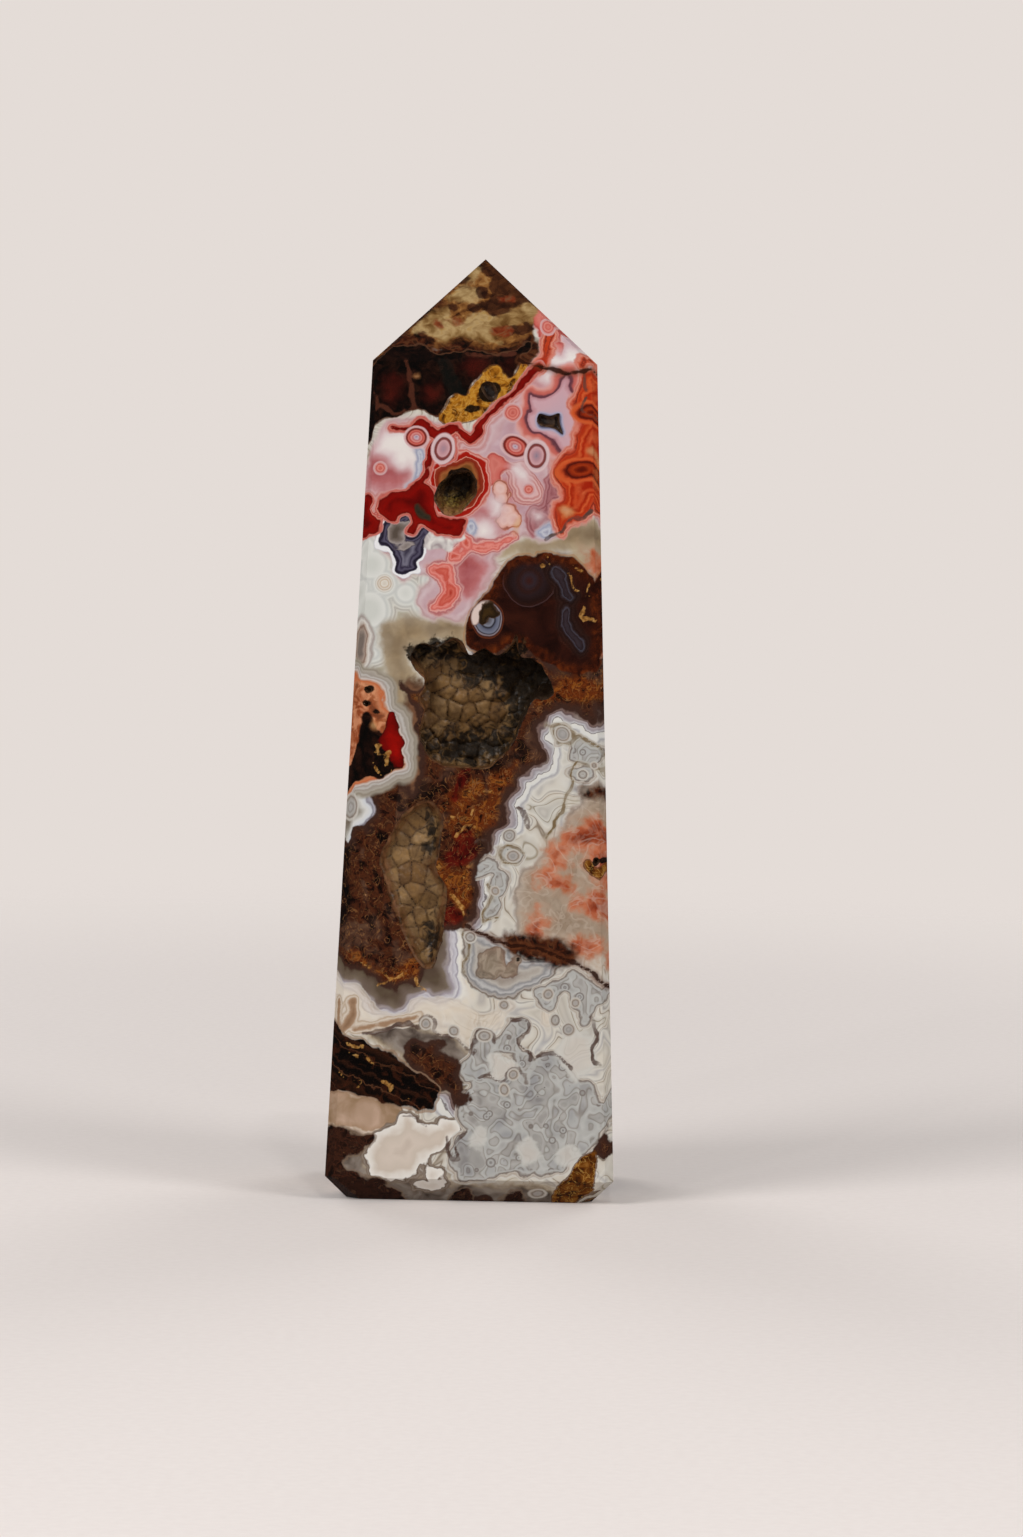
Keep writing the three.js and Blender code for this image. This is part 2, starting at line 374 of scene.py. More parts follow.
LEAST_DEPTH = 0.5  # and is at least this much deeper than at its lip
BUMP_SIZE = 1.3
FLARE_DEPTH = 3
FRONT_CLEARANCE = 1.0  # how far a cutter stands out in front of the face
JITTER = 0.2  # how far the points of a net are moved about, in steps
NET_EDGE = 0.6  # how near they may come to its edge, in steps


def rim_of(hollow):
    """The rim of a hollow as a loop, with its points pushed about by noise."""
    loop = smooth_loop(hollow["rim"], RIM_STEPS)
    pushes = [noise.noise_vector(Vector((x / WOBBLE_SIZE, z / WOBBLE_SIZE, WOBBLE_SLICE))) for x, z in loop]
    return loop + RIM_WOBBLE * np.array([(p.x, p.y) for p in pushes])


def gap_from(loop, flat):
    """Distance from points to a closed loop."""
    return gap_to(loop, np.roll(loop, -1, 0), flat[:, 0], flat[:, 1])


def bumps_at(flat, size, layer, rough):
    """Noise with fine detail, one number for each point of a net."""
    return np.array([noise.fractal(Vector((a, layer, b)) / size, rough, 2.0, 3) for a, b in flat])


def depth_behind(hollow, flat, rim_gap):
    """How far behind the face the wall of a hollow is, at points inside its mouth."""
    x, z = flat[:, 0], flat[:, 1]
    bowls = [
        d * np.sqrt(np.clip(1 - ((x - bx) / (w / 2)) ** 2 - ((z - bz) / (h / 2)) ** 2, 0, 1))
        for bx, bz, w, h, d in hollow["bowls"]
    ]
    full = np.maximum.reduce(bowls)
    mx, mz, mw, mh, rise = hollow["mound"]
    full = full - rise * np.exp(-(((x - mx) / mw) ** 2) - ((z - mz) / mh) ** 2)
    full = np.maximum(full, hollow["lip"] + LEAST_DEPTH)
    share = np.clip(rim_gap / RIM_RISE, 0, 1)
    share = share * share * (3 - 2 * share)
    bumps = bumps_at(flat, BUMP_SIZE, layer=3.0, rough=0.8)
    return hollow["lip"] + (full - hollow["lip"]) * share + hollow["roughness"] * bumps * share


def net_inside(loop, step, seed):
    """Triangles that fill a loop, with points about one step apart: the points and the faces."""
    rng = np.random.default_rng(seed)
    (x0, z0), (x1, z1) = loop.min(0), loop.max(0)
    grid = np.stack(np.meshgrid(np.arange(x0, x1, step), np.arange(z0, z1, step)), -1).reshape(-1, 2)
    grid = grid + rng.uniform(-JITTER, JITTER, grid.shape) * step
    within = inside_of(loop, np.roll(loop, -1, 0), grid[:, 0], grid[:, 1])
    keep = within & (gap_from(loop, grid) > step * NET_EDGE)
    flat = [Vector(p) for p in np.vstack([loop, grid[keep]])]
    border = [(i, (i + 1) % len(loop)) for i in range(len(loop))]
    points, _, faces, *_ = delaunay_2d_cdt(flat, border, [], 1, 1e-6)
    return np.array([tuple(p) for p in points]), [list(f) for f in faces]


def set_back(flat, depth):
    """Points of a net set straight back from the front face."""
    return np.stack([flat[:, 0], front_at(flat[:, 1]) + depth, flat[:, 1]], 1)


def sheet_points(hollow, flat, depth):
    """Points of the net pushed back into the stone, spreading outwards as they go."""
    centre = flat.mean(0)
    spread = 1 + hollow["flare"] * (depth / FLARE_DEPTH)[:, None]
    side = centre + (flat - centre) * spread
    x, z = side[:, 0], side[:, 1] + hollow["lift"] * depth
    return np.stack([x, front_at(flat[:, 1]) + depth, z], 1)


print("hollows:", ", ".join(HOLLOWS))

# %% Closed solids from a sheet
CRISP_SHEET = 40  # degrees, as CRISP is


def closed_between(front, back, faces, name):
    """A closed solid between two sheets that share one set of triangles."""
    count = len(front)
    edges = {}
    for face in faces:
        for a, b in zip(face, face[1:] + face[:1]):
            edges[(a, b)] = edges.get((b, a)) is None
            if not edges[(a, b)]:
                edges[(b, a)] = False
    walls = [[a, b, b + count, a + count] for (a, b), single in edges.items() if single]
    sides = [face[::-1] for face in faces] + [[v + count for v in face] for face in faces]
    piece = mesh_object(name, np.vstack([front, back]).tolist(), sides + walls, CRISP_SHEET)
    bm = bmesh.new()
    bm.from_mesh(piece.data)
    bmesh.ops.recalc_face_normals(bm, faces=bm.faces)
    bm.to_mesh(piece.data)
    bm.free()
    return piece


def cut(target, cutter):
    """Takes one closed mesh out of another, and removes the cutter."""
    step = target.modifiers.new("cut", "BOOLEAN")
    step.operation = "DIFFERENCE"
    step.object = cutter
    step.solver = "EXACT"
    with bpy.context.temp_override(object=target, active_object=target):
        bpy.ops.object.modifier_apply(modifier=step.name)
    bpy.data.objects.remove(cutter)


CUTTER_STEP = 0.35
CUTTER_SEED = 3
for name, hollow in HOLLOWS.items():
    loop = rim_of(hollow)
    flat, faces = net_inside(loop, CUTTER_STEP, CUTTER_SEED)
    wall = sheet_points(hollow, flat, depth_behind(hollow, flat, gap_from(loop, flat)))
    mouth = set_back(flat, -FRONT_CLEARANCE)
    cut(stone, closed_between(mouth, wall, faces, name + "_cutter"))
print("stone with its hollows:", len(stone.data.vertices), "points")

# %% [markdown]
# ## Small openings and the nick
# Some spots are too small for a lining: a star-shaped pocket, an eye in the yellow patch, and pinholes.
# They are cut the same way, with a steeper wall. One foot corner was knocked off, and the break is a
# shallow scoop.

# %% Cut the small openings
SMALL_OPENINGS = {
    "star_pocket": "55,790 65,788 75,791 75,783 79,770 71,775 54,780",
    "ochre_eye": "-4,816 1,821 8,820 13,812 13,806 9,802 2,805",
    "right_pinhole": "118,348 122,349 124,345 121,342 118,343",
    "left_pinhole_low": "-114,499 -111,501 -109,497 -112,495",
    "left_pinhole_high": "-114,514 -109,515 -106,511 -110,509",
}
SMALL_DEPTH = 0.9
SMALL_RIM = 0.35  # the share of that depth at the rim
SMALL_RISE = 0.35  # and how far in from the rim it is whole
SMALL_STEP = 0.12
SMALL_STEPS = 4
SMALL_SEED = 5
NICK_PLACE = (14.5, -12.9, 0.1)
NICK_SIZE = (1.9, 2.28, 1.71)
NICK_ROUGHNESS = 0.05

for name, rim in SMALL_OPENINGS.items():
    loop = smooth_loop(rim, SMALL_STEPS)
    flat, faces = net_inside(loop, SMALL_STEP, SMALL_SEED)
    share = SMALL_RIM + (1 - SMALL_RIM) * np.clip(gap_from(loop, flat) / SMALL_RISE, 0, 1)
    mouth, bottom = set_back(flat, -FRONT_CLEARANCE), set_back(flat, SMALL_DEPTH * share)
    cut(stone, closed_between(mouth, bottom, faces, name + "_cutter"))


def rough_ball(name, place, size, amount):
    """A closed ball with a broken surface."""
    bm = bmesh.new()
    bmesh.ops.create_icosphere(bm, subdivisions=4, radius=1.0)
    for vertex in bm.verts:
        push = 1 + amount * noise.fractal(vertex.co * 2.5, 0.7, 2.0, 3)
        vertex.co = Vector(v * push * s + p for v, s, p in zip(vertex.co, size, place)) * MM
    mesh = bpy.data.meshes.new(name)
    bm.to_mesh(mesh)
    bm.free()
    return link(name, mesh)


cut(stone, rough_ball("nick_cutter", NICK_PLACE, NICK_SIZE, NICK_ROUGHNESS))
smooth_faces(stone.data, CRISP)
print("stone finished:", len(stone.data.vertices), "points")

# %% [markdown]
# ## The crusts
# Each pocket is lined with quartz that grew as a skin of knobs, each knob a cluster of crystals with its
# own slightly tilted flat top and a dark seam round it. A Voronoi cell is the right pattern for this, since
# the clusters grew until they met. The height comes from the distances to the nearest and second nearest
# centre. Their difference is nothing on a seam, and is stored on the mesh, so that the paint can find it.

# %% Build the crusts
CRUST_STEP = {"main_vug": 0.11, "upper_vug": 0.07, "lower_channel": 0.11}
# Painted shade: where a pocket is almost black, deep inside it and under its rim
PAINTED_SHADE = [
    disc("-42,548", 28, 14), disc("6,534", 30, 22), disc("46,518", 32, 40), disc("42,484", 18, 30),
    disc("0,460", 48, 14), disc("-26,719", 26, 15), disc("-40,262", 10, 20), disc("-42,366", 7, 20),
]
# Where the lining is yellow-green
GOLD = [disc("-20,697", 26, 12), disc("-42,722", 8, 8)]
MISSING = 0.22  # this share of the centres is left out, so that the knobs differ in size
CRUST_FORWARD = 0.12  # the crust stands this far in front of the pocket's wall
CRUST_OVERLAP = 0.06  # its edge reaches this far past the rim
CRUST_BACK = 0.15  # and its back this far into the stone
CRUST_SEED = 20
SCATTER = 0.36  # how far the centres are moved about, in cells
TILT = 0.35
TALLNESS = (0.5, 1.3)  # the least and the most that a knob rises, as a share of its hollow's knob
SEAM_WIDTH = 0.3  # in cells
SEAM_HEIGHT = 0.35  # what is left of a knob's height at its seam
RIM_THIN = 0.5  # the knobs get lower from this far in, towards the rim
RIM_LEAST = 0.15  # and keep this share of their height at it
WALL_SHARE = 0.96  # the crust's depth as a share of its wall's
LIP_SHARE = 0.6  # and its least depth as a share of the lip's
GRAIN_SIZE, GRAIN_HEIGHT = 0.35, 0.035  # the small crystals on the knobs


def cell_centres(loop, size, seed):
    """Scattered cell centres, about one size apart."""
    rng = np.random.default_rng(seed)
    (x0, z0), (x1, z1) = loop.min(0) - size, loop.max(0) + size
    grid = np.stack(np.meshgrid(np.arange(x0, x1, size), np.arange(z0, z1, size)), -1).reshape(-1, 2)
    grid[:, 0] += (np.round((grid[:, 1] - z0) / size) % 2) * size / 2
    grid += rng.uniform(-SCATTER, SCATTER, grid.shape) * size
    return grid[rng.random(len(grid)) > MISSING]


def nearest_two(points, centres):
    """Index of the nearest centre, and the distances to the nearest and the second nearest."""
    gaps = np.hypot(points[:, None, 0] - centres[:, 0], points[:, None, 1] - centres[:, 1])
    order = np.argpartition(gaps, 1, axis=1)[:, :2]
    first, second = (np.take_along_axis(gaps, order[:, k:k + 1], 1)[:, 0] for k in (0, 1))
    swap = first > second
    index = np.where(swap, order[:, 1], order[:, 0])
    return index, np.minimum(first, second), np.maximum(first, second)


def store(mesh, name, values):
    """Keeps one number per point on a mesh, for the shader to read."""
    mesh.attributes.new(name, "FLOAT", "POINT").data.foreach_set("value", np.asarray(values, np.float32))


def crust_piece(name, hollow, seed):
    """The crust of one hollow, with the measures that its paint needs."""
    loop = rim_of(hollow)
    middle = loop.mean(0)
    away = (loop - middle) / np.hypot(*(loop - middle).T)[:, None]
    flat, faces = net_inside(loop + away * CRUST_OVERLAP, CRUST_STEP[name], seed)
    gap = gap_from(loop, flat)
    wall = depth_behind(hollow, flat, gap)
    centres = cell_centres(loop, hollow["cell"], seed)
    index, first, second = nearest_two(flat, centres)
    rng = np.random.default_rng(seed + 1)
    tilts = rng.uniform(-TILT, TILT, (len(centres), 2))[index]
    tall = rng.uniform(*TALLNESS, len(centres))[index]
    dome = tall * (1 - (first / hollow["cell"]) ** 2) + (tilts * (flat - centres[index])).sum(1)
    seam = np.clip((second - first) / (SEAM_WIDTH * hollow["cell"]), 0, 1)
    rounded = SEAM_HEIGHT + (1 - SEAM_HEIGHT) * np.sqrt(seam)
    height = hollow["knob"] * dome * rounded * np.clip(gap / RIM_THIN, RIM_LEAST, 1)
    grains = GRAIN_HEIGHT * bumps_at(flat, GRAIN_SIZE, layer=1.0, rough=0.9)
    top = np.maximum(wall * WALL_SHARE - CRUST_FORWARD - height - grains, hollow["lip"] * LIP_SHARE)
    front, back = (sheet_points(hollow, flat, depth) for depth in (top, wall + CRUST_BACK))
    piece = closed_between(front, back, faces, name + "_crust")
    stored = {
        "shade": union(PAINTED_SHADE, flat[:, 0], flat[:, 1]),
        "gold": union(GOLD, flat[:, 0], flat[:, 1]),
        "cell_tone": rng.random(len(centres))[index],
        "seam": second - first,
        "rim_gap": gap,
    }
    for key, values in stored.items():
        store(piece.data, key, np.tile(values, 2))
    return piece


crusts = {name: crust_piece(name, HOLLOWS[name], CRUST_SEED + i) for i, name in enumerate(HOLLOWS)}
for name, crust in crusts.items():
    print(name, "crust:", len(crust.data.polygons), "faces")

# %% [markdown]
# ## Where the colours lie
# This is the map of the front face. Each patch was set out in the enlarged windows, with as few points
# as its outline needs. A patch may be an area, a line with its width in millimetres, or an oval.
# Patches may overlap, because they are painted one over another, from the pale ground up to the eyes and
# the cracks.

# %% The map: pale stone and smoke
PATCHES = {
    # round growths on the left and at the upper edge
    "pearls": [
        disc("C 205,232", 100), disc("C 330,290", 84), disc("C 465,345", 104), disc("C 110,390", 140),
        disc("C 130,120", 115), disc("C 30,260", 110), disc("B 30,830", 95), disc("C 470,215", 50, 62),
        disc("C 90,560", 100, 90), disc("C 130,650", 75, 60), disc("C 0,700", 120, 80),
        disc("A 1250,640", 90, 60), disc("A 1360,680", 80, 60),
    ],
    "bay": [
        area(
            "E 500,500 590,540 620,560 630,620 615,680 625,760 F 625,0 640,70 665,130 600,142 520,140 "
            "460,155 430,185 415,215 380,228 330,222 265,212 235,170 200,115 130,82 60,76 -60,76 "
            "-60,-80 300,-160"
        ),
    ],
    "smoke": [
        # beside the largest hollow
        area(
            "C 200,520 260,480 380,440 470,460 560,430 640,400 700,480 690,560 640,600 560,550 440,590 "
            "340,650 380,800 400,930 D 385,0 400,200 400,430 360,480 345,300 300,130 250,0 C 240,900 "
            "240,760 220,640"
        ),
        # above the brown lobe
        area(
            "B 1290,670 1380,655 1440,640 1560,640 1560,900 1300,900 C 1450,30 1300,20 1200,30 1060,60 "
            "1000,40 940,60 870,80 930,-10 B 980,800 1060,760 1150,785 1240,735"
        ),
        # foot
        area(
            "G 350,560 430,520 500,500 560,520 640,560 760,540 900,570 1060,560 1200,590 1200,680 "
            "430,680"
        ),
        # foot left
        area("G 100,250 290,280 230,380 235,470 300,520 380,560 300,640 100,600 60,400"),
        # behind the lens
        area("F 240,330 430,300 520,340 640,370 720,430 760,480 740,640 600,620 480,520 330,420"),
    ],
    # where the browns have no bands round them
    "calm": [
        area(
            "C -60,-100 500,-100 700,500 700,900 D 430,0 480,300 420,440 300,470 200,500 60,520 -60,500"
        ),
        area(
            "C 620,480 700,300 860,100 900,-80 1620,-80 1620,660 1490,640 1480,260 1380,80 1200,20 "
            "1000,80 860,200 740,330 680,560"
        ),
        area("G 1400,150 1600,150 1600,480 1440,480"),
        area("F -80,-80 640,-60 640,60 420,240 -80,100"),
    ],
    "strip": [
        area(
            "D 375,-40 470,0 480,60 455,130 500,250 490,320 470,380 480,440 500,520 440,560 390,620 "
            "350,560 380,430 395,330 385,200"
        ),
    ],
    "dome": [
        area(
            "C -60,800 60,800 150,830 195,880 205,930 D 215,20 240,80 275,130 305,150 325,230 345,290 "
            "352,400 345,440 290,460 200,500 100,520 -60,520"
        ),
    ],
    # left edge
    "inlet": [area("D 30,530 100,500 140,520 150,600 185,660 155,730 90,770 60,840 -40,840 -40,530")],
    "sand": [
        area(
            "E 1010,560 1000,440 1010,320 1040,220 1110,190 1160,110 1230,30 D 1240,800 1290,700 "
            "1340,640 1350,560 1400,520 1490,500 1600,500 E 1620,60 1620,400 1560,560 1500,640 1400,690 "
            "1300,690 1290,640 1200,600 1100,590"
        ),
    ],
    "salmon": [
        area(
            "E 1170,100 1220,60 1285,95 1275,160 1240,230 1300,320 1250,340 1180,300 1130,290 1120,230 "
            "1170,170"
        ),
        area("D 1240,810 1300,770 1380,730 1440,715 1500,720 1580,800 1560,880 1400,900 1250,870"),
        area("E 1330,400 1400,340 1440,320 1500,400 1580,420 1580,500 1440,460 1380,420"),
        disc("E 1392,640", 80, 46, -5),
        area("E 1380,60 1440,60 1520,60 1590,120 1590,340 1480,300 1420,240"),
        disc("E 1110,520", 44, 66),
        area("C 1440,40 1500,60 1510,150 1460,170 1440,110"),
        disc("C 1530,240", 40, 60),
        disc("C 1540,600", 30, 110),
    ],
    "oval": [
        area(
            "E 740,560 800,565 900,600 960,640 1000,690 1080,700 1160,705 1240,720 1200,760 F 1180,50 "
            "1110,100 1000,150 930,165 860,150 780,100 740,50 730,-40"
        ),
    ],
    "pockets": [
        area("E 860,650 930,645 945,700 920,780 850,800 790,790 800,740 810,690"),
        area("E 980,700 1025,690 1035,730 1000,780 930,800 915,770 950,730"),
    ],
    "grey_eye": [disc("C 50,590", 52, 112)],
}

# %% The map: tan layers and grey growths
PATCHES |= {
    "cream": [
        area(
            "F 60,110 140,100 200,130 240,210 270,240 340,250 430,240 460,190 560,170 660,180 760,215 "
            "800,290 790,350 760,440 700,380 640,360 580,345 560,280 520,262 480,290 420,310 330,320 "
            "240,340 200,332 170,360 110,330 60,330 -20,320 -20,120"
        ),
        disc("F 880,290", 62, 50), disc("F 940,205", 44, 38), disc("F 1165,270", 36, 50),
    ],
    "fold": [
        line(0.9, "F 95,330 115,300 150,250 140,190"),
        line(0.7, "F 62,340 66,270 62,220"),
        line(0.5, "F 150,330 240,320 330,300 430,285 480,270"),
    ],
    "slab": [area(
        "G 20,60 110,62 200,80 300,100 400,130 420,170 400,230 300,270 230,280 160,250 60,240 20,240"
    )],
    "cloud": [
        area(
            "G 240,400 280,300 300,265 350,258 400,240 440,180 500,190 545,245 600,235 650,200 740,240 "
            "690,290 660,360 600,380 540,440 510,500 450,505 400,515 330,510 270,480"
        ),
        disc("G 590,490", 48, 36), disc("G 575,550", 62, 34),
    ],
    "cluster": [
        area(
            "F 760,450 770,410 795,390 800,350 840,338 880,370 885,400 940,340 970,290 1020,275 1060,310 "
            "1050,360 1010,400 1050,430 1075,480 1060,560 1000,530 980,480 900,460 860,480 880,530 "
            "850,570 810,600 770,600 720,600 705,540 740,500"
        ),
        area(
            "F 1100,480 1180,463 1240,490 1290,540 1340,612 1400,620 1440,706 G 1560,60 1560,200 "
            "1480,260 1440,340 1400,380 1320,420 1280,500 1200,500 1100,490 950,500 850,520 740,530 "
            "700,460 680,400 700,300 760,250 720,160 760,60 F 740,640 820,580 900,610 960,560 1020,560 "
            "1060,600"
        ),
        area(
            "F 1110,130 1120,195 1180,222 1225,170 1250,135 1300,200 1340,290 1385,300 1420,200 1490,150 "
            "1440,110 1380,60 1300,30 1230,60 1160,90"
        ),
        area("D 1290,300 1340,268 1400,300 1450,335 1445,400 1380,415 1310,392"),
        disc("D 1245,245", 52),
        disc("D 1350,470", 62, 42),
        area(
            "E 830,150 900,190 960,230 960,300 900,360 930,420 900,480 840,490 820,450 860,390 870,350 "
            "850,310 880,240 780,250"
        ),
        area("E 920,95 1000,85 1040,110 1030,160 980,185 930,160"),
    ],
    # pale gaps in the grey
    "gaps": [
        area("F 870,470 930,480 990,520 970,580 920,605 890,580 880,530"),
        disc("G 1290,390", 60, 50), disc("G 830,300", 30, 44), disc("G 1090,380", 50, 60),
        disc("F 1320,460", 90, 110),
    ],
}

# %% The map: pinks
PATCHES |= {
    "blush": [
        area(
            "A 1088,360 1200,280 1620,640 1620,1120 B 1620,620 1440,640 1290,655 1240,730 1150,778 "
            "1060,745 980,770 C 900,20 870,130 800,260 740,330 690,430 600,440 540,420 480,440 400,330 "
            "480,190 380,170 300,200 B 200,900 100,760 30,720 -80,700 -80,300 40,290 110,190 130,110 "
            "170,60 300,40 400,40 500,60 640,90 740,90 A 840,970 940,870 1040,760 1110,725 1130,640 "
            "1120,540 1090,500"
        ),
    ],
    "rosy": [
        area("B 60,250 110,240 150,290 230,320 300,315 325,370 280,420 180,450 80,440 30,380"),
        area("A 1050,870 1120,835 1190,845 1200,890 1120,915 1060,905"),
        area("C 640,90 720,70 800,130 760,220 700,290 650,240"),
        area("B 700,640 740,590 830,590 870,640 850,740 800,810 740,830 690,800 800,760 820,690 770,660"),
        area("B 880,420 940,440 980,480 960,520 900,490"),
    ],
    "chalk": [
        area(
            "B 90,230 150,120 250,105 320,140 330,190 390,235 405,290 370,370 330,400 300,330 200,270 "
            "120,250"
        ),
        area("A 1150,700 1180,640 1240,660 1300,610 1400,640 1440,690 1400,745 1300,750 1200,735"),
        area("A 1150,760 1280,780 1290,840 1230,900 1180,850 1120,800"),
        disc("B 262,262", 66),
        disc("B 772,722", 60, 68, 20),
        area("B 952,325 990,316 1005,345 1025,370 1032,412 1000,415 965,385 948,350"),
        area("B 820,530 870,560 860,610 820,600"),
        disc("B 1098,636", 10),
    ],
    "bluish": [
        area("B 345,215 400,240 412,300 370,380 330,440 290,450 330,380 350,320"),
        area("B 650,690 700,660 720,700 700,770 670,760"),
        area("A 1270,760 1310,790 1300,850 1240,830"),
        area("B 1100,720 1170,680 1200,680 1190,740 1150,770"), disc("B 1360,485", 38, 36),
    ],
    "lobes": [
        area(
            "B 790,290 800,250 830,238 870,255 900,290 950,310 985,325 950,345 900,350 862,372 865,420 "
            "840,430 800,430 800,370"
        ),
        area(
            "A 1085,380 1120,370 1160,400 1200,440 1190,480 1240,510 1240,545 1200,550 1150,540 "
            "1100,520"
        ),
        area("A 1165,590 1220,570 1260,600 1240,650 1180,660"),
    ],
    "fingers": [
        disc("B 868,462", 46, 50), disc("B 885,520", 40, 36), disc("B 915,595", 56, 44),
        disc("B 950,655", 56, 56), disc("B 890,650", 44, 56), disc("B 925,500", 12),
    ],
    "zone": [
        area(
            "B 930,300 1010,300 1050,360 1110,400 1140,460 1130,530 1080,560 1010,560 960,520 930,450 "
            "920,400 900,350"
        ),
    ],
    "mauve": [
        area(
            "B 1150,400 1195,350 1215,400 1245,450 1255,500 1200,540 1180,600 1150,640 1090,600 1120,560 "
            "1150,500 1160,440"
        ),
        area("B 1035,650 1060,590 1110,565 1150,600 1195,650 1150,700 1080,740 1045,710"),
    ],
    "coral": [
        area(
            "C 470,130 520,110 590,110 620,160 630,220 655,260 640,320 590,380 540,400 490,390 510,330 "
            "550,270 540,210 500,170"
        ),
        area("B 650,760 690,790 705,830 C 690,60 640,95 590,110 570,70 600,20 B 600,850 635,800"),
        line(0.7, "C 730,10 790,25 850,10 890,-10"),
        line(0.5, "B 620,750 640,790 600,850 560,860"),
        line(0.45, "B 960,760 900,790 830,805 770,815 710,825"),
    ],
    "star_zone": [
        area(
            "A 1050,912 1110,930 1180,905 1225,850 1290,770 1300,860 1325,930 1335,990 1350,1100 B "
            "1358,60 1330,130 1318,215 1250,235 1190,160 1130,125 1065,112 1035,60 1045,-20 A 1070,1010"
        ),
    ],
    "star": [area("B 1115,5 1180,14 1235,5 1240,50 1255,125 1200,85 1115,75")],
}

# %% The map: violet, point, orange
PATCHES |= {
    "violet": [
        area(
            "B 130,700 160,650 210,655 240,610 290,600 335,640 310,680 290,705 300,742 340,722 375,690 "
            "425,722 440,760 410,800 400,835 C 440,50 430,85 400,105 415,150 380,172 320,180 270,160 "
            "250,100 245,50 B 190,850 120,825 95,785 115,740"
        ),
    ],
    "grey_block": [
        area("B 175,775 195,670 250,660 305,665 315,700 280,740 270,790 220,800"),
        disc("B 285,815", 52, 18, 15),
    ],
    "feather": [
        area("B 405,770 470,735 520,755 580,770 625,745 640,770 600,812 560,855 500,845 450,845 410,840"),
    ],
    "tip": [
        area(
            "A 1700,-300 1160,300 1088,380 1078,450 1072,600 1040,650 960,665 860,665 760,660 650,640 "
            "560,640 480,620 400,600 330,600 260,610 150,660 0,760 -700,600 -700,-300"
        ),
    ],
    "pale": [
        area(
            "A 310,520 350,450 420,390 520,365 560,410 620,455 650,415 760,405 830,415 920,380 1030,325 "
            "1085,350 1070,450 930,470 820,500 840,545 880,590 800,600 700,570 600,545 540,585 480,575 "
            "430,540 370,530"
        ),
        disc("A 690,150", 60, 40, 40),
        area("A 540,300 600,230 700,240 760,300 700,330 600,320"),
    ],
    "stain": [
        area(
            "A 800,200 850,120 900,160 960,230 1040,290 1085,325 1000,340 920,370 850,405 790,405 "
            "740,330 790,320 800,280 790,230"
        ),
        area("A 720,240 775,235 780,300 725,300"),
        disc("A 800,130", 50, 34), disc("A 640,190", 36, 22, 30), disc("A 690,370", 40, 32),
        disc("A 575,365", 34, 28),
        area("A 915,475 1070,470 1070,520 1000,535 920,535"),
        disc("A 400,565", 46, 30),
    ],
    "umber": [
        disc("A 592,442", 42, 22), disc("A 475,475", 30, 26), area("A 820,500 920,480 930,540 830,540"),
        area("A 850,290 960,290 940,330 850,340"),
    ],
    # the dark, grainy seam under the tip and up its left edge
    "bark": [
        area(
            "A 20,740 200,560 330,420 480,290 520,330 430,400 330,470 310,530 380,540 430,560 470,600 "
            "560,590 640,560 700,600 760,610 860,615 930,600 1000,570 1060,540 1110,600 1100,690 "
            "1040,740 600,800 60,800"
        ),
        area(
            "E 930,560 1020,555 1130,575 1200,585 1300,625 1330,700 1250,745 1160,725 1080,700 990,665 "
            "940,620"
        ),
        disc("D 1420,570", 76, 44, 20),
    ],
    "orange": [
        area(
            "B 1400,-40 1380,60 1345,140 1330,220 1270,250 1225,300 1215,360 1240,410 1265,450 1270,530 "
            "1210,560 1215,640 1240,720 1290,650 1380,650 1440,560 1500,540 1600,540 1600,-40 A "
            "1620,1120 1620,760 1490,770 1400,780 1385,850 1350,880 1330,960 1360,1030 1390,1080"
        ),
        line(0.36, "A 1190,520 1160,570 1150,660 1110,730"),
        line(0.4, "A 1380,720 1410,670 1430,690"),
    ],
    "garnet": [disc("B 1370,345", 96, 46, 8), disc("B 1480,345", 60, 44), disc("B 1430,-10", 70, 40)],
    "moat": [
        area(
            "B 440,330 480,300 560,260 620,240 660,232 720,250 765,290 782,350 788,430 775,500 750,560 "
            "700,600 650,618 600,650 560,620 500,600 450,540 440,440"
        ),
    ],
    # painted glows, one of them a painted highlight near the right edge, and beads
    "light": [
        disc("B 1455,232", 34, 24), disc("B 1482,400", 24, 54), disc("B 1280,600", 34, 26),
        disc("A 353,797", 9),
        disc("B 975,690", 12, 30, -20), disc("D 200,195", 16, 13),
    ],
}

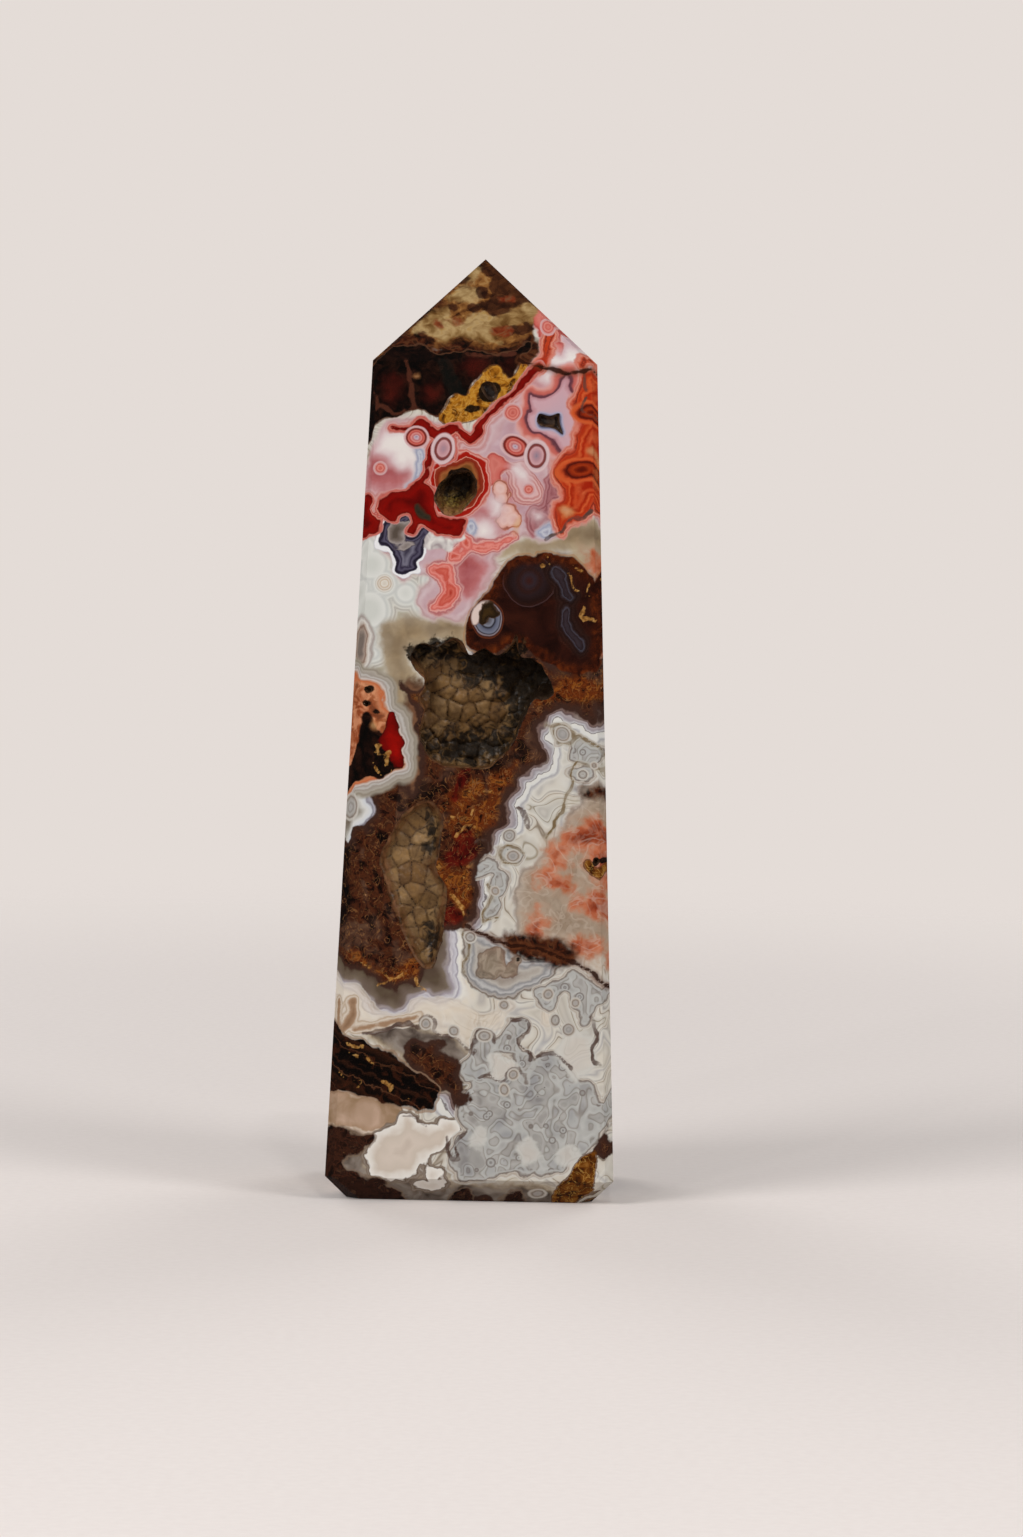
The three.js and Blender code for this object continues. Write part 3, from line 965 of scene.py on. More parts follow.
# %% The map: browns and the lobe
PATCHES |= {
    "rust": [
        # middle
        area(
            "D 330,-60 380,-20 430,0 480,-20 700,-60 1100,-60 1200,-40 1500,-60 1540,-60 1540,90 "
            "1470,100 1440,150 1415,190 1380,160 1310,115 1220,105 1160,140 1110,200 1105,280 1140,360 "
            "1130,400 1060,440 1000,480 990,540 940,600 920,640 940,700 940,740 860,780 830,830 E 860,40 "
            "850,100 820,160 800,200 790,260 800,330 780,400 790,460 760,500 700,540 620,550 560,560 "
            "540,640 520,740 480,830 F 430,90 380,140 330,120 270,80 200,40 100,20 "
            "-20,0 E -40,800 -40,0 D 20,840 80,780 150,740 190,660 170,580 150,540 200,500 300,470 "
            "350,440 350,500 420,560 440,470 440,380 430,200 440,120 380,60 330,0"
        ),
        # lower tongue
        area(
            "F 430,390 500,400 560,385 620,400 600,440 660,480 710,520 700,560 730,620 760,700 G 755,60 "
            "760,130 720,140 690,110 660,60 600,50 540,10 F 560,620 480,560 420,500 400,460"
        ),
        # right edge
        area("G 1540,210 1500,230 1470,290 1460,350 1410,380 1480,420 1540,440 1600,440 1600,210"),
        # foot chamfer
        area("G 700,640 760,620 860,620 900,640 900,700 700,700"),
        # joins the lobe
        area("C 900,560 1100,640 1300,740 1540,690 1540,980 1200,980 1000,900 900,700"),
    ],
    "night": [
        area("E -60,-40 60,0 100,100 90,300 110,420 60,500 -60,520"),
        area("D 780,400 860,380 980,330 1010,280 1030,330 960,400 880,450 800,450"),
        area("D 380,560 440,540 520,520 540,600 480,640 380,640 350,620"),
        area("E 790,0 850,20 860,110 800,110 770,60"),
        area("E 780,230 860,220 870,300 820,340 770,340"),
    ],
    "amber": [
        # right of the largest hollow
        area(
            "C 1050,520 1120,560 1160,640 1240,720 1300,760 1400,790 1510,840 1510,928 1100,928 1240,850 "
            "1200,760 1100,690 1040,620"
        ),
        # under it
        area(
            "D 830,480 900,430 960,420 1000,380 970,500 920,600 880,700 900,760 820,830 640,830 620,700 "
            "820,600"
        ),
        area("D 600,560 700,540 760,500 800,560 720,640 640,680 580,640"),
        # beside the channel
        area("E 480,160 540,135 640,200 760,180 780,300 740,400 700,440 600,340 540,380 500,260"),
        # left of the largest hollow
        area("C 360,790 440,780 470,860 440,928 350,928"),
        # lobe rim
        area(
            "C 860,230 890,150 960,80 1050,60 1130,60 1200,60 1130,120 1040,130 950,180 900,240 840,300"
        ),
        area("E 90,690 160,660 220,720 330,780 440,700 500,660 480,760 360,830 200,780"),
    ],
    "ruby": [
        area("E 610,130 650,90 700,30 750,20 790,60 800,120 770,170 700,200 640,190"),
        disc("D 640,600", 30, 32), disc("E 620,470", 90, 60), disc("D 690,810", 60, 26),
        area("D 660,470 720,440 700,540 660,600 640,560"),
    ],
    "lobe": [
        area(
            "C 690,590 700,480 730,380 800,320 850,240 900,150 960,80 1040,60 1100,80 1130,50 1200,45 "
            "1250,70 1340,80 1420,170 1490,260 1500,420 1500,560 1500,720 1450,760 1330,770 1230,730 "
            "1150,690 1050,620 960,590 880,640 780,650"
        ),
    ],
    "slate": [disc("C 1070,215", 155)],
    "slate_band": [
        line(0.9, "C 1225,150 1250,210 1290,290 1310,310"),
        line(1.0, "C 1290,400 1290,460 1320,530 1370,600"),
    ],
    "big_orb": [disc("C 822,445", 88, 106)],
    "crescent": [area("C 736,472 728,420 745,370 790,342 835,340 800,372 778,415 762,470")],
    "orb_shade": [area("C 790,365 850,348 885,385 872,425 835,425 815,470 785,480 778,420")],
}

# %% The map: maroon, ochre and reds
PATCHES |= {
    "maroon": [
        area(
            "A -80,780 70,705 150,640 250,600 330,590 400,600 470,640 560,650 660,630 760,640 880,650 "
            "960,630 1030,580 1062,600 1040,640 1000,660 1005,700 960,745 930,800 880,770 850,730 "
            "800,740 740,790 680,870 650,930 600,910 560,940 520,1000 490,1045 440,1035 380,1010 "
            "330,1010 250,1040 200,1050 130,1070 100,1100 40,1180 -80,1180"
        ),
        area(
            "D 60,360 100,280 120,160 160,130 200,180 230,240 270,320 330,400 345,440 300,460 240,490 "
            "200,500 150,480 40,520 -20,520 -20,400"
        ),
    ],
    "slick": [area("A 490,700 560,690 590,780 640,860 650,920 600,905 560,935 540,880 500,800")],
    "ember": [
        disc("A 200,860", 100, 110), disc("A 700,740", 110, 90), disc("A 920,700", 56, 70),
        disc("A 440,900", 80, 110),
    ],
    "vein": [
        line(0.34, "A 275,690 300,780 315,880 330,960 335,1010"),
        line(0.3, "A 90,960 140,990 210,1020 330,1010 420,1030 490,1042"),
        line(0.26, "A 640,640 700,660 800,665 900,655 960,650"),
        line(0.26, "A 60,880 100,930 90,1000"),
    ],
    "layers": [
        area(
            "F -40,330 60,335 110,370 200,395 250,420 330,450 400,500 450,540 550,600 590,640 590,706 "
            "G 600,90 590,150 520,160 460,140 380,120 280,100 180,70 100,60 -40,50"
        ),
    ],
    "foot": [
        area(
            "G -40,240 60,240 150,260 230,290 290,290 260,340 200,380 130,420 150,470 220,500 330,530 "
            "360,560 430,600 400,720 -40,720"
        ),
        area("G 700,600 760,580 800,620 760,700 640,700"),
        area("G 960,600 1040,590 1060,640 960,660"),
    ],
    "ochre": [
        # under the maroon block
        area(
            "A 488,1050 520,1000 590,905 640,925 665,885 740,785 800,740 850,730 880,770 930,800 975,755 "
            "1010,722 1040,735 1000,790 940,870 900,920 840,960 790,1000 740,1050 640,1092 560,1097 "
            "500,1075"
        ),
        # right edge
        area("E 1390,150 1440,210 1500,200 1560,240 1500,290 1440,260 1380,210"),
        # foot corner
        area(
            "G 1210,640 1225,580 1280,520 1330,450 1370,400 1420,375 1450,400 1440,470 1440,540 1420,590 "
            "1360,640 1300,700 1220,700"
        ),
        # beside the upper hollow
        area("B 330,445 400,380 450,360 520,365 600,340 560,400 520,470 470,520 430,470"),
    ],
    "scarlet": [
        # deep red body
        area(
            "B 115,565 140,510 200,480 300,472 350,430 400,430 440,470 460,560 500,630 560,640 600,650 "
            "655,650 640,700 600,762 540,760 480,740 420,712 370,680 345,715 310,742 290,720 330,680 "
            "320,640 270,605 230,620 210,660 170,650 125,625"
        ),
        # left arris
        area("B -60,470 50,500 78,550 60,590 100,640 120,690 60,745 -60,700"),
        # band under the ochre
        line(0.5, "A 1115,728 1060,775 1010,832 960,892 900,940 840,980 790,1030 740,1100 B 700,130"),
        # net
        line(0.3, "B 195,92 260,97 330,85"),
        line(
            0.75,
            "B 330,85 380,60 420,95 470,125 520,120 560,105 600,95 640,130 680,150 720,130 740,100"
        ),
        # loop
        line(0.42, "B 440,320 445,210 500,150 560,160 585,215 560,270 520,300"),
        line(0.5, "B 430,300 400,380 330,450"),
    ],
    "blood": [area("D 215,265 250,230 280,140 315,150 325,230 345,290 352,400 325,430 290,380 240,310")],
    "moss": [area("B 340,560 365,562 400,610 440,640 432,670 390,650 345,610")],
}

# %% The map: lines, eyes and cracks
PATCHES |= {
    "dark": [
        line(0.22, "A 1400,925 1375,970 1395,1020 1450,1050"),
        line(0.22, "A 1390,780 1400,850 1410,880"),
        line(0.26, "B 1150,778 1200,740 1262,705 1300,650 1370,655 1430,610"),
        # round the tan scallops
        line(
            0.30,
            "F 200,352 260,350 330,330 430,303 490,320 500,280 545,268 575,300 580,345 640,372 690,382 "
            "725,425 770,465 765,430 800,392 798,352 840,336 880,368 890,400"
        ),
        line(0.26, "F 1385,270 1420,340 1400,410 1412,460 1400,500 1440,525"),
        line(0.28, "F 1100,480 1180,463 1245,492 1290,540"),
        line(0.26, "F 812,590 860,570 900,608 950,600 948,560 990,535 1030,565"),
        line(0.24, "F 980,285 1050,290 1062,340 1010,400 1060,450 1070,500"),
        # a slit in the lace
        line(0.26, "D 1000,660 1030,720 1060,770 1055,720 1020,670"),
        # curls beside the rust
        line(0.22, "E 780,70 800,40 840,60 850,110"),
        line(0.24, "G 660,290 680,400 730,410 700,350 760,260"),
        line(0.22, "G 440,185 500,190 550,245"),
    ],
    # round the growths in the lace
    "olive": [
        line(
            0.26,
            "D 1150,185 1200,200 1260,195 1300,230 1300,290 1245,300 1200,270 1195,225"
        ),
        line(
            0.26,
            "D 1300,280 1340,262 1400,295 1465,330 1470,400 1440,440 1390,420 1320,400 1290,470 1300,520 "
            "1270,590 1260,650 1200,740 1150,830"
        ),
        line(0.26, "E 1040,110 980,90 920,95 915,140 950,180 1000,185"),
        line(0.26, "E 850,290 870,340 860,390 820,440 830,490 900,480"),
        line(0.24, "E 720,560 750,620 740,680 710,720 730,780"),
    ],
    "warm_orbs": [disc("B 350,145", 56, 52), disc("B 962,200", 70, 52, -20)],
    "pale_orbs": [
        disc("A 945,1018", 42), disc("B 1045,467", 22), disc("B 125,338", 26), disc("A 1165,485", 34),
    ],
    "ghost_orbs": [disc("B 1095,258", 50, 64), disc("B 515,215", 44, 58, -10)],
    "cool_orbs": [
        disc("F 527,303", 22), disc("F 675,342", 21), disc("F 937,207", 20, 18), disc("F 1272,335", 28),
        disc("F 1205,285", 20, 26), disc("F 985,570", 22), disc("F 938,650", 20, 24),
        disc("F 835,368", 28, 22),
        disc("F 1165,150", 22, 25), disc("E 965,30", 32), disc("E 985,140", 28, 25),
        disc("E 888,330", 16),
        disc("E 337,278", 20, 22), disc("D 1245,245", 36), disc("D 1357,472", 22), disc("D 1422,420", 13),
        disc("E 755,580", 24), disc("F 1310,195", 18), disc("G 1140,600", 32, 18),
        disc("D 60,650", 34, 60),
    ],
    "white_orbs": [disc("C 205,232", 46), disc("C 465,345", 40)],
    # painted shade in pits and holes over their dark filling, and painted shadow under the hollows' rims
    "voids": [
        disc("A 800,885", 60, 66, -30), disc("A 700,990", 46, 22, 12), disc("C 110,865", 28, 22, 10),
        disc("D 145,75", 17), disc("D 195,122", 18, 12), disc("E 1440,170", 24, 24, 30),
        disc("E 1018,707", 14),
        disc("C 365,595", 7, 17, -20), disc("B 620,440", 95, 110, 30), disc("E 1145,303", 9),
        line(0.35, "C 380,660 440,620 500,600 560,575 600,570 640,610 680,650"),
        line(0.26, "C 330,660 370,690 400,720"),
    ],
    # painted shadow under the largest hollow's overhanging upper rim, near black
    "coal": [
        area("C 330,640 420,600 560,545 640,560 660,640 600,660 540,640 470,690 400,740 350,700"),
        area("C 1000,560 1045,560 1050,640 990,680 930,720 940,660"),
    ],
    "crack": [
        line(0.16, "A 985,690 1040,712 1110,730 1180,745 1280,770 1360,768 1420,750 1480,745"),
        line(
            0.18,
            "E 740,520 800,550 870,590 960,620 1100,640 1240,690 1300,710 1380,750 1450,810 1520,860"
        ),
    ],
    "threads": [
        line(0.2, "D 165,345 220,350 280,345"), line(0.2, "D 210,310 216,360"),
        line(0.22, "D 180,400 200,430 215,470 245,485"), line(0.2, "D 275,340 265,400 260,440"),
        line(0.2, "D 240,360 290,440 280,470"), line(0.2, "C 1300,180 1340,260 1390,300 1440,310"),
        line(0.22, "C 1420,230 1410,300 1400,380 1370,430 1430,440"), line(0.2, "C 1330,120 1380,160"),
        line(0.2, "C 1180,60 1190,120 1150,130"), line(0.2, "C 1390,450 1430,430 1470,460"),
        line(0.2, "E 130,700 200,740 300,790 340,800"), line(0.22, "F 280,100 350,70 410,45"),
        line(0.2, "F 470,80 530,140"), line(0.2, "D 630,700 720,720 740,660"),
        line(0.22, "D 650,820 700,760 760,770"), line(0.26, "E 575,325 640,340 690,400 720,460"),
        line(0.26, "F 120,410 200,430"), line(0.24, "F 130,460 170,470"), line(0.26, "F 215,470 250,520"),
        line(0.26, "F 65,550 105,590"), line(0.24, "F 140,600 190,600 180,640"),
        line(0.24, "F 300,610 350,640 340,660"),
        line(0.24, "G 165,15 200,40"), line(0.24, "G 455,90 480,110"),
        line(0.22, "G 70,370 110,365 130,380"),
    ],
}
print("patches drawn:", sum(len(shapes) for shapes in PATCHES.values()))

# %% [markdown]
# ## Laying the paint on the mesh
# The colour patches were set out on the front face. Inside the stone they carry on, so each patch is drawn
# back through the stone along a slanting line, bent by noise, and folded back where it runs off the sheet.
# With one slant for all, two of the four corners would be mirrors: the faces that meet there would show one
# picture twice. So each family slants and climbs its own way. That loosens the likeness, and it still shows
# at the back. The photograph shows the front alone, and the rest is a guess. At the front the depth is
# nothing, and the patches lie where they were drawn.

# %% Store the distances on the stone
SLANT = 1.05  # sideways drift for each millimetre of depth
HALF_SHEET = 14.6  # the drawn sheet is mirrored at this distance from the middle
BEND = 8.0
BEND_UP = 1.4  # it bends this much more up and down
BEND_SIZE = 15.0
BEND_DEPTH = 6.0  # the bend is whole from here on, and nothing at the front
RIPPLES = [(0.30, 1.3), (0.12, 0.5)]  # how far each ripple pushes an outline, and its size
BEDS_ACROSS, BEDS_UP = 0.41, 0.91  # the beds of the dark layers lie square to this direction
CORNER_SHARE = 0.7  # turns a sum of two gaps into the distance to a cut corner
ROUND_THINGS = (
    "pearls white_orbs warm_orbs pale_orbs ghost_orbs cool_orbs star big_orb crescent slate garnet"
).split()
ROUND_SHARE = 0.2  # how much of the ripples such a patch takes, to stay round
# Each family: its extra slant, its rise for each millimetre of depth, and its patches
FAMILIES = [
    (-0.50, 0.90, "pearls white_orbs smoke strip calm grey_eye inlet"),
    (0.45, 0.75, "blush rosy chalk bluish lobes fingers zone mauve coral star_zone star"),
    (-0.15, 0.60, "warm_orbs pale_orbs ghost_orbs dark olive"),
    (-0.45, -0.80, "cluster gaps cool_orbs oval pockets cream fold slab cloud"),
    (-0.25, 0.12, "tip pale stain umber bark"),
    (-0.55, 1.00, "violet grey_block feather"),
    (-0.60, 1.10, "orange garnet light salmon sand"),
    (0.40, -0.55, "rust night amber ruby ochre coal bay threads"),
    (-0.55, -1.00, "lobe slate slate_band big_orb crescent orb_shade"),
    (0.55, -0.15, "maroon slick ember vein layers foot voids"),
    (-0.35, 0.65, "scarlet moat moss crack"),
    (0.15, 0.45, "dome blood"),
]


def mirrored(x, half):
    """Folds x back and forth so that it stays between -half and half."""
    return np.abs((x - half) % (4 * half) - 2 * half) - half


def pushes_at(x, y, z, size):
    """A noise vector for each point, wandering over a size in millimetres."""
    return np.array([noise.noise_vector(Vector(p) / size) for p in zip(x, y, z)])


def lay_paint(piece):
    """Stores how far inside each patch the points of a piece are, and a few measures of the column."""
    co = np.empty(len(piece.data.vertices) * 3, np.float32)
    piece.data.vertices.foreach_get("co", co)
    x, y, z = (co.reshape(-1, 3) / MM).T.astype(float)
    depth = y - front_at(z)
    bends = pushes_at(x, y, z, BEND_SIZE)
    amount = BEND * np.clip(depth / BEND_DEPTH, 0, 1)
    push = sum(far * pushes_at(x, y, z, size) for far, size in RIPPLES)
    for slant, rise, names in FAMILIES:
        across = mirrored(x - (SLANT + slant) * depth + amount * bends[:, 0], HALF_SHEET)
        up = z + rise * depth + amount * bends[:, 1] * BEND_UP
        up = mirrored(up - HEIGHT / 2, HEIGHT / 2) + HEIGHT / 2
        for name in names.split():
            share = ROUND_SHARE if name in ROUND_THINGS else 1.0
            found = union(PATCHES[name], across + share * push[:, 0], up + share * push[:, 2])
            store(piece.data, name, found)
    store(piece.data, "height", z)
    store(piece.data, "slope", BEDS_ACROSS * (x - SLANT * depth) + BEDS_UP * z)
    x_mid = APEX_SHIFT * np.clip((z - SHOULDER) / (HEIGHT - SHOULDER), 0, 1)
    half_width, half_depth, cut_off = sizes_at(z)
    to_side, to_face = half_width - np.abs(x - x_mid), half_depth - np.abs(y)
    to_corner = (to_side + to_face - cut_off) * CORNER_SHARE
    store(piece.data, "buried", np.minimum.reduce([z, to_side, to_face, to_corner]))


lay_paint(stone)
print("layers laid:", sum(len(names.split()) for _, _, names in FAMILIES))

# %% [markdown]
# ## A short way to write shader nodes
# A material this rich has a few hundred nodes. The pen below adds one node for each word, and returns its
# output, so a material reads like a recipe. A value can be a number, a colour or another node's output.

# %% The pen
def linear(part):
    """One part of a screen's colour, 0 to 255, as the linear number that a shader wants."""
    return part / 255 / 12.92 if part <= 10 else ((part / 255 + 0.055) / 1.055) ** 2.4


def rgb(r, g, b):
    """A colour as the eye picks it from a screen."""
    return (linear(r), linear(g), linear(b), 1.0)


class Pen:
    """Writes nodes into one tree."""

    def __init__(self, tree):
        self.tree = tree

    def node(self, kind, inputs=None, **settings):
        """A new node, with its settings made and its inputs plugged."""
        new = self.tree.nodes.new(kind)
        for key, value in settings.items():
            setattr(new, key, value)
        for key, value in (inputs or {}).items():
            self.plug(new.inputs[key], value)
        return new

    def plug(self, socket, value):
        """Links a socket to another node's output, or sets it to a number or a colour."""
        if isinstance(value, bpy.types.NodeSocket):
            self.tree.links.new(value, socket)
        elif isinstance(value, (int, float)) and hasattr(socket.default_value, "__len__"):
            socket.default_value = [value] * len(socket.default_value)
        else:
            socket.default_value = value

    def sum(self, operation, a, b=0.0, c=0.0, clamp=False):
        """Arithmetic on numbers."""
        inputs = {0: a, 1: b, 2: c}
        return self.node("ShaderNodeMath", inputs, operation=operation, use_clamp=clamp).outputs[0]

    def span(self, value, start, end, low=0.0, high=1.0, **settings):
        """Goes evenly from low to high as the value goes from start to end."""
        inputs = {"Value": value, "From Min": start, "From Max": end, "To Min": low, "To Max": high}
        return self.node("ShaderNodeMapRange", inputs, **settings).outputs[0]

    def step(self, value, start, end, low=0.0, high=1.0):
        """Goes smoothly from low to high as the value goes from start to end."""
        return self.span(value, start, end, low, high, interpolation_type="SMOOTHSTEP")

    def mix(self, share, a, b, blend="MIX"):
        """Colour a, with a share of colour b."""
        inputs = {"Factor": share, 6: a, 7: b}
        return self.node("ShaderNodeMix", inputs, data_type="RGBA", blend_type=blend).outputs[2]

    def ramp(self, value, stops):
        """Colours along a value: stops are pairs of a value and a colour, in order.

        The ramp has a small tree of its own, because Blender works a whole tree out again at each change
        of a ramp.
        """
        tree = bpy.data.node_groups.new("Ramp", "ShaderNodeTree")
        tree.interface.new_socket("Value", in_out="INPUT", socket_type="NodeSocketFloat")
        tree.interface.new_socket("Color", in_out="OUTPUT", socket_type="NodeSocketColor")
        inner = Pen(tree)
        first, last = stops[0][0], stops[-1][0]
        along = inner.span(inner.node("NodeGroupInput").outputs[0], first, last)
        new = inner.node("ShaderNodeValToRGB", {0: along})
        elements = new.color_ramp.elements
        for i, (at, tone) in enumerate(stops):
            element = elements[i] if i < 2 else elements.new(1.0)
            element.position = (at - first) / (last - first)
            element.color = tone
        inner.node("NodeGroupOutput", {0: new.outputs[0]})
        return self.node("ShaderNodeGroup", {0: value}, node_tree=tree).outputs[0]

    def stored(self, name):
        """A number kept on the mesh."""
        return self.node("ShaderNodeAttribute", attribute_name=name).outputs["Fac"]

    def group(self, tree, **inputs):
        """A node group with its inputs set. Spaces in their names are written as underscores."""
        named = {key.replace("_", " "): value for key, value in inputs.items()}
        return self.node("ShaderNodeGroup", named, node_tree=tree).outputs[0]


def open_group(name, **inputs):
    """Starts a node group of numbers with one output, called Result."""
    tree = bpy.data.node_groups.new(name, "ShaderNodeTree")
    for key, value in inputs.items():
        socket = tree.interface.new_socket(key, in_out="INPUT", socket_type="NodeSocketFloat")
        socket.default_value = value
    tree.interface.new_socket("Result", in_out="OUTPUT", socket_type="NodeSocketFloat")
    pen = Pen(tree)
    return tree, pen, pen.node("NodeGroupInput").outputs


def close_group(pen, result):
    """Gives a group its result."""
    pen.node("NodeGroupOutput", {"Result": result})


print("a pen is ready")

# %% [markdown]
# ## The patterns of agate
# Six patterns, each a node group, make all the colours below. Agate grew layer on layer from a wall or a
# grain inwards. So an edge drifts and bulges like a row of bubbles. Blotches are stains that soaked in
# later, hairlines are healed cracks, beads are grains that the layers grew round, and pebbles are blocks
# of broken stone. Each group takes the size of its pattern in millimetres.

# %% Pattern groups
FAR_OUTSIDE = 9.0  # millimetres: a cell without a bead is all this far outside one


def texture(pen, kind, size, **more):
    """A texture node fixed to the stone, with features of a size in millimetres."""
    place = pen.node("ShaderNodeTexCoord").outputs["Object"]
    return pen.node(kind, {"Vector": place, "Scale": pen.sum("DIVIDE", 1 / MM, size), **more})


def drifts():
    """A wandering number, about -0.8 to 0.8."""
    tree, pen, given = open_group("Drift", Size=1.5)
    tone = texture(pen, "ShaderNodeTexNoise", given["Size"], Detail=3.0).outputs[0]
    close_group(pen, pen.sum("MULTIPLY", pen.sum("SUBTRACT", tone, 0.5), 3.0))
    return tree


def bubbles():
    """A number that bulges round scattered centres, with creases where the bulges meet."""
    tree, pen, given = open_group("Bubbles", Size=1.2)
    gap = texture(pen, "ShaderNodeTexVoronoi", given["Size"]).outputs["Distance"]
    close_group(pen, pen.sum("SUBTRACT", 0.5, gap))
    return tree


def blotches():
    """Cloudy tones from 0 to 1."""
    tree, pen, given = open_group("Blotches", Size=3.0, Contrast=3.0, Detail=3.0, Swirl=0.0)
    more = {"Detail": given["Detail"], "Distortion": given["Swirl"]}
    tone = texture(pen, "ShaderNodeTexNoise", given["Size"], **more).outputs[0]
    tone = pen.sum("MULTIPLY", pen.sum("SUBTRACT", tone, 0.5), given["Contrast"])
    close_group(pen, pen.sum("ADD", tone, 0.5, clamp=True))
    return tree


def hairlines():
    """Thin wandering lines, 1 on a line and 0 off it."""
    tree, pen, given = open_group("Hairlines", Size=3.0, Width=0.02, Swirl=1.0)
    more = {"Detail": 2.0, "Distortion": given["Swirl"]}
    tone = texture(pen, "ShaderNodeTexNoise", given["Size"], **more).outputs[0]
    off = pen.sum("ABSOLUTE", pen.sum("SUBTRACT", tone, 0.5))
    close_group(pen, pen.step(off, given["Width"], pen.sum("MULTIPLY", given["Width"], 0.3)))
    return tree


def scattered_beads():
    """Millimetres inside a bead. Share is how many of the cells hold one, and Radius is in cells."""
    tree, pen, given = open_group("Beads", Size=0.5, Share=0.3, Radius=0.3)
    cell = texture(pen, "ShaderNodeTexVoronoi", given["Size"])
    chance = pen.node("ShaderNodeSeparateColor", {0: cell.outputs["Color"]}).outputs
    radius = pen.sum("MULTIPLY", given["Radius"], pen.span(chance[1], 0.0, 1.0, 0.5, 1.0))
    depth = pen.sum("MULTIPLY", pen.sum("SUBTRACT", radius, cell.outputs["Distance"]), given["Size"])
    empty = pen.sum("GREATER_THAN", chance[0], given["Share"])
    close_group(pen, pen.sum("SUBTRACT", depth, pen.sum("MULTIPLY", empty, FAR_OUTSIDE)))
    return tree


def pebbles():
    """A tone from 0 to 1 for each of many uneven blocks."""
    tree, pen, given = open_group("Pebbles", Size=1.0)
    cell = texture(pen, "ShaderNodeTexVoronoi", given["Size"]).outputs["Color"]
    close_group(pen, pen.node("ShaderNodeSeparateColor", {0: cell}).outputs[0])
    return tree


DRIFT, BUBBLES, BLOTCHES, HAIRLINES = drifts(), bubbles(), blotches(), hairlines()
BEADS, PEBBLES = scattered_beads(), pebbles()
print("pattern groups:", ", ".join(tree.name for tree in bpy.data.node_groups))

# %% [markdown]
# ## Painting the stone
# The paint goes on in the order that the stone grew, from the pale lace under everything to the veins and
# eyes on top. Each coat follows one rule: a patch's stored distance is made to wander a little, and
# colours are laid at distances inside the edge, in millimetres, with minus for outside. That is how agate
# is made, one skin on another, so a short list of distances and colours gives a whole set of rings.

# %% Open the material
def open_material(name):
    """A new material without nodes, and a pen for it."""
    material = bpy.data.materials.new(name)
    material.use_nodes = True
    material.node_tree.nodes.clear()
    return material, Pen(material.node_tree)


TOO_SMALL_TO_SEE = 1e-8
agate, pen = open_material("agate")
height = pen.stored("height")
fine = pen.group(BLOTCHES, Size=0.35, Contrast=2.5)
cloud = pen.group(BLOTCHES, Size=2.2, Contrast=3.2, Swirl=0.6)
patchy = pen.group(BLOTCHES, Size=5.0, Contrast=3.5, Swirl=1.0)
small_drift = pen.group(DRIFT, Size=0.6)
drift = pen.sum("MULTIPLY_ADD", small_drift, 0.45, pen.group(DRIFT, Size=1.6))
bubble = pen.group(BUBBLES, Size=1.7)


def edge(name, wander=0.15, scallop=0.0):
    """A stored patch's distance in millimetres, wandering and scalloped."""
    distance = pen.sum("MULTIPLY_ADD", drift, wander, pen.stored(name))
    return pen.sum("MULTIPLY_ADD", bubble, scallop, distance) if scallop else distance


def inside(distance, soft=0.06, at=0.0):
    """1 inside a patch and 0 outside."""
    return pen.step(distance, at - soft, at + soft)


def at_line(distance, where, width):
    """1 where the distance is close to a value."""
    off = pen.sum("ABSOLUTE", pen.sum("SUBTRACT", distance, where))
    return pen.step(off, width / 2, width / 6)


def times(*factors):
    """A product in which plain 1.0 costs no node."""
    product, *others = [factor for factor in factors if factor != 1.0] or [1.0]
    for factor in others:
        product = pen.sum("MULTIPLY", product, factor)
    return product


def paint(mask, new, share=1.0):
    """Lays a colour over what is there."""
    global colour
    colour = pen.mix(times(mask, share), colour, new)


def tones(text):
    """Reads colours written as red,green,blue."""
    return [tuple(int(v) for v in one.split(",")) for one in text.split()]


def shades(value, text):
    """Colours spread evenly along a value from 0 to 1."""
    found = tones(text)
    return pen.ramp(value, [(i / (len(found) - 1), rgb(*tone)) for i, tone in enumerate(found)])


def rings(distance, text):
    """Colours at distances in millimetres, written as distance:red,green,blue."""
    stops = [stop.split(":") for stop in text.split()]
    return pen.ramp(distance, [(float(mm), rgb(*tones(tone)[0])) for mm, tone in stops])


def specks(size, share, radius, start, end):
    """1 inside scattered beads and 0 outside, with a soft edge from start to end."""
    return pen.step(pen.group(BEADS, Size=size, Share=share, Radius=radius), start, end)


def hairs(size, width, swirl):
    """1 on thin wandering lines and 0 off them."""
    return pen.group(HAIRLINES, Size=size, Width=width, Swirl=swirl)


def release(*noises):
    """Gives noises out again, tied to the paint so far by an amount too small to see.

    Cycles works out every value as soon as it can, and keeps few at once. So a long recipe hands its
    noises on from cell to cell, and no coat is worked out before its turn.
    """
    red = pen.node("ShaderNodeSeparateColor", {0: colour}).outputs[0]
    return [pen.sum("MULTIPLY_ADD", red, TOO_SMALL_TO_SEE, tone) for tone in noises]


def coat(name, text, other="", wander=0.15, scallop=0.0, soft=0.08, share=1.0):
    """Paints a patch in rings, with a second set of colours where the stone is clouded."""
    distance = edge(name, wander, scallop)
    new = rings(distance, text)
    if other:
        new = pen.mix(cloud, new, rings(distance, other))
    paint(inside(distance, soft, float(text.split(":")[0])), new, share)


print("the first clouds are ready")

# %% [markdown]
# ### The pale lace
# White and grey chalcedony fills the spaces. It looks like a contour map, because it is one: the silica
# settled on bumpy walls. A cloud noise gives the map, and a few of its contours are stained brown.
# Against the browns the layers run lavender, white and grey.

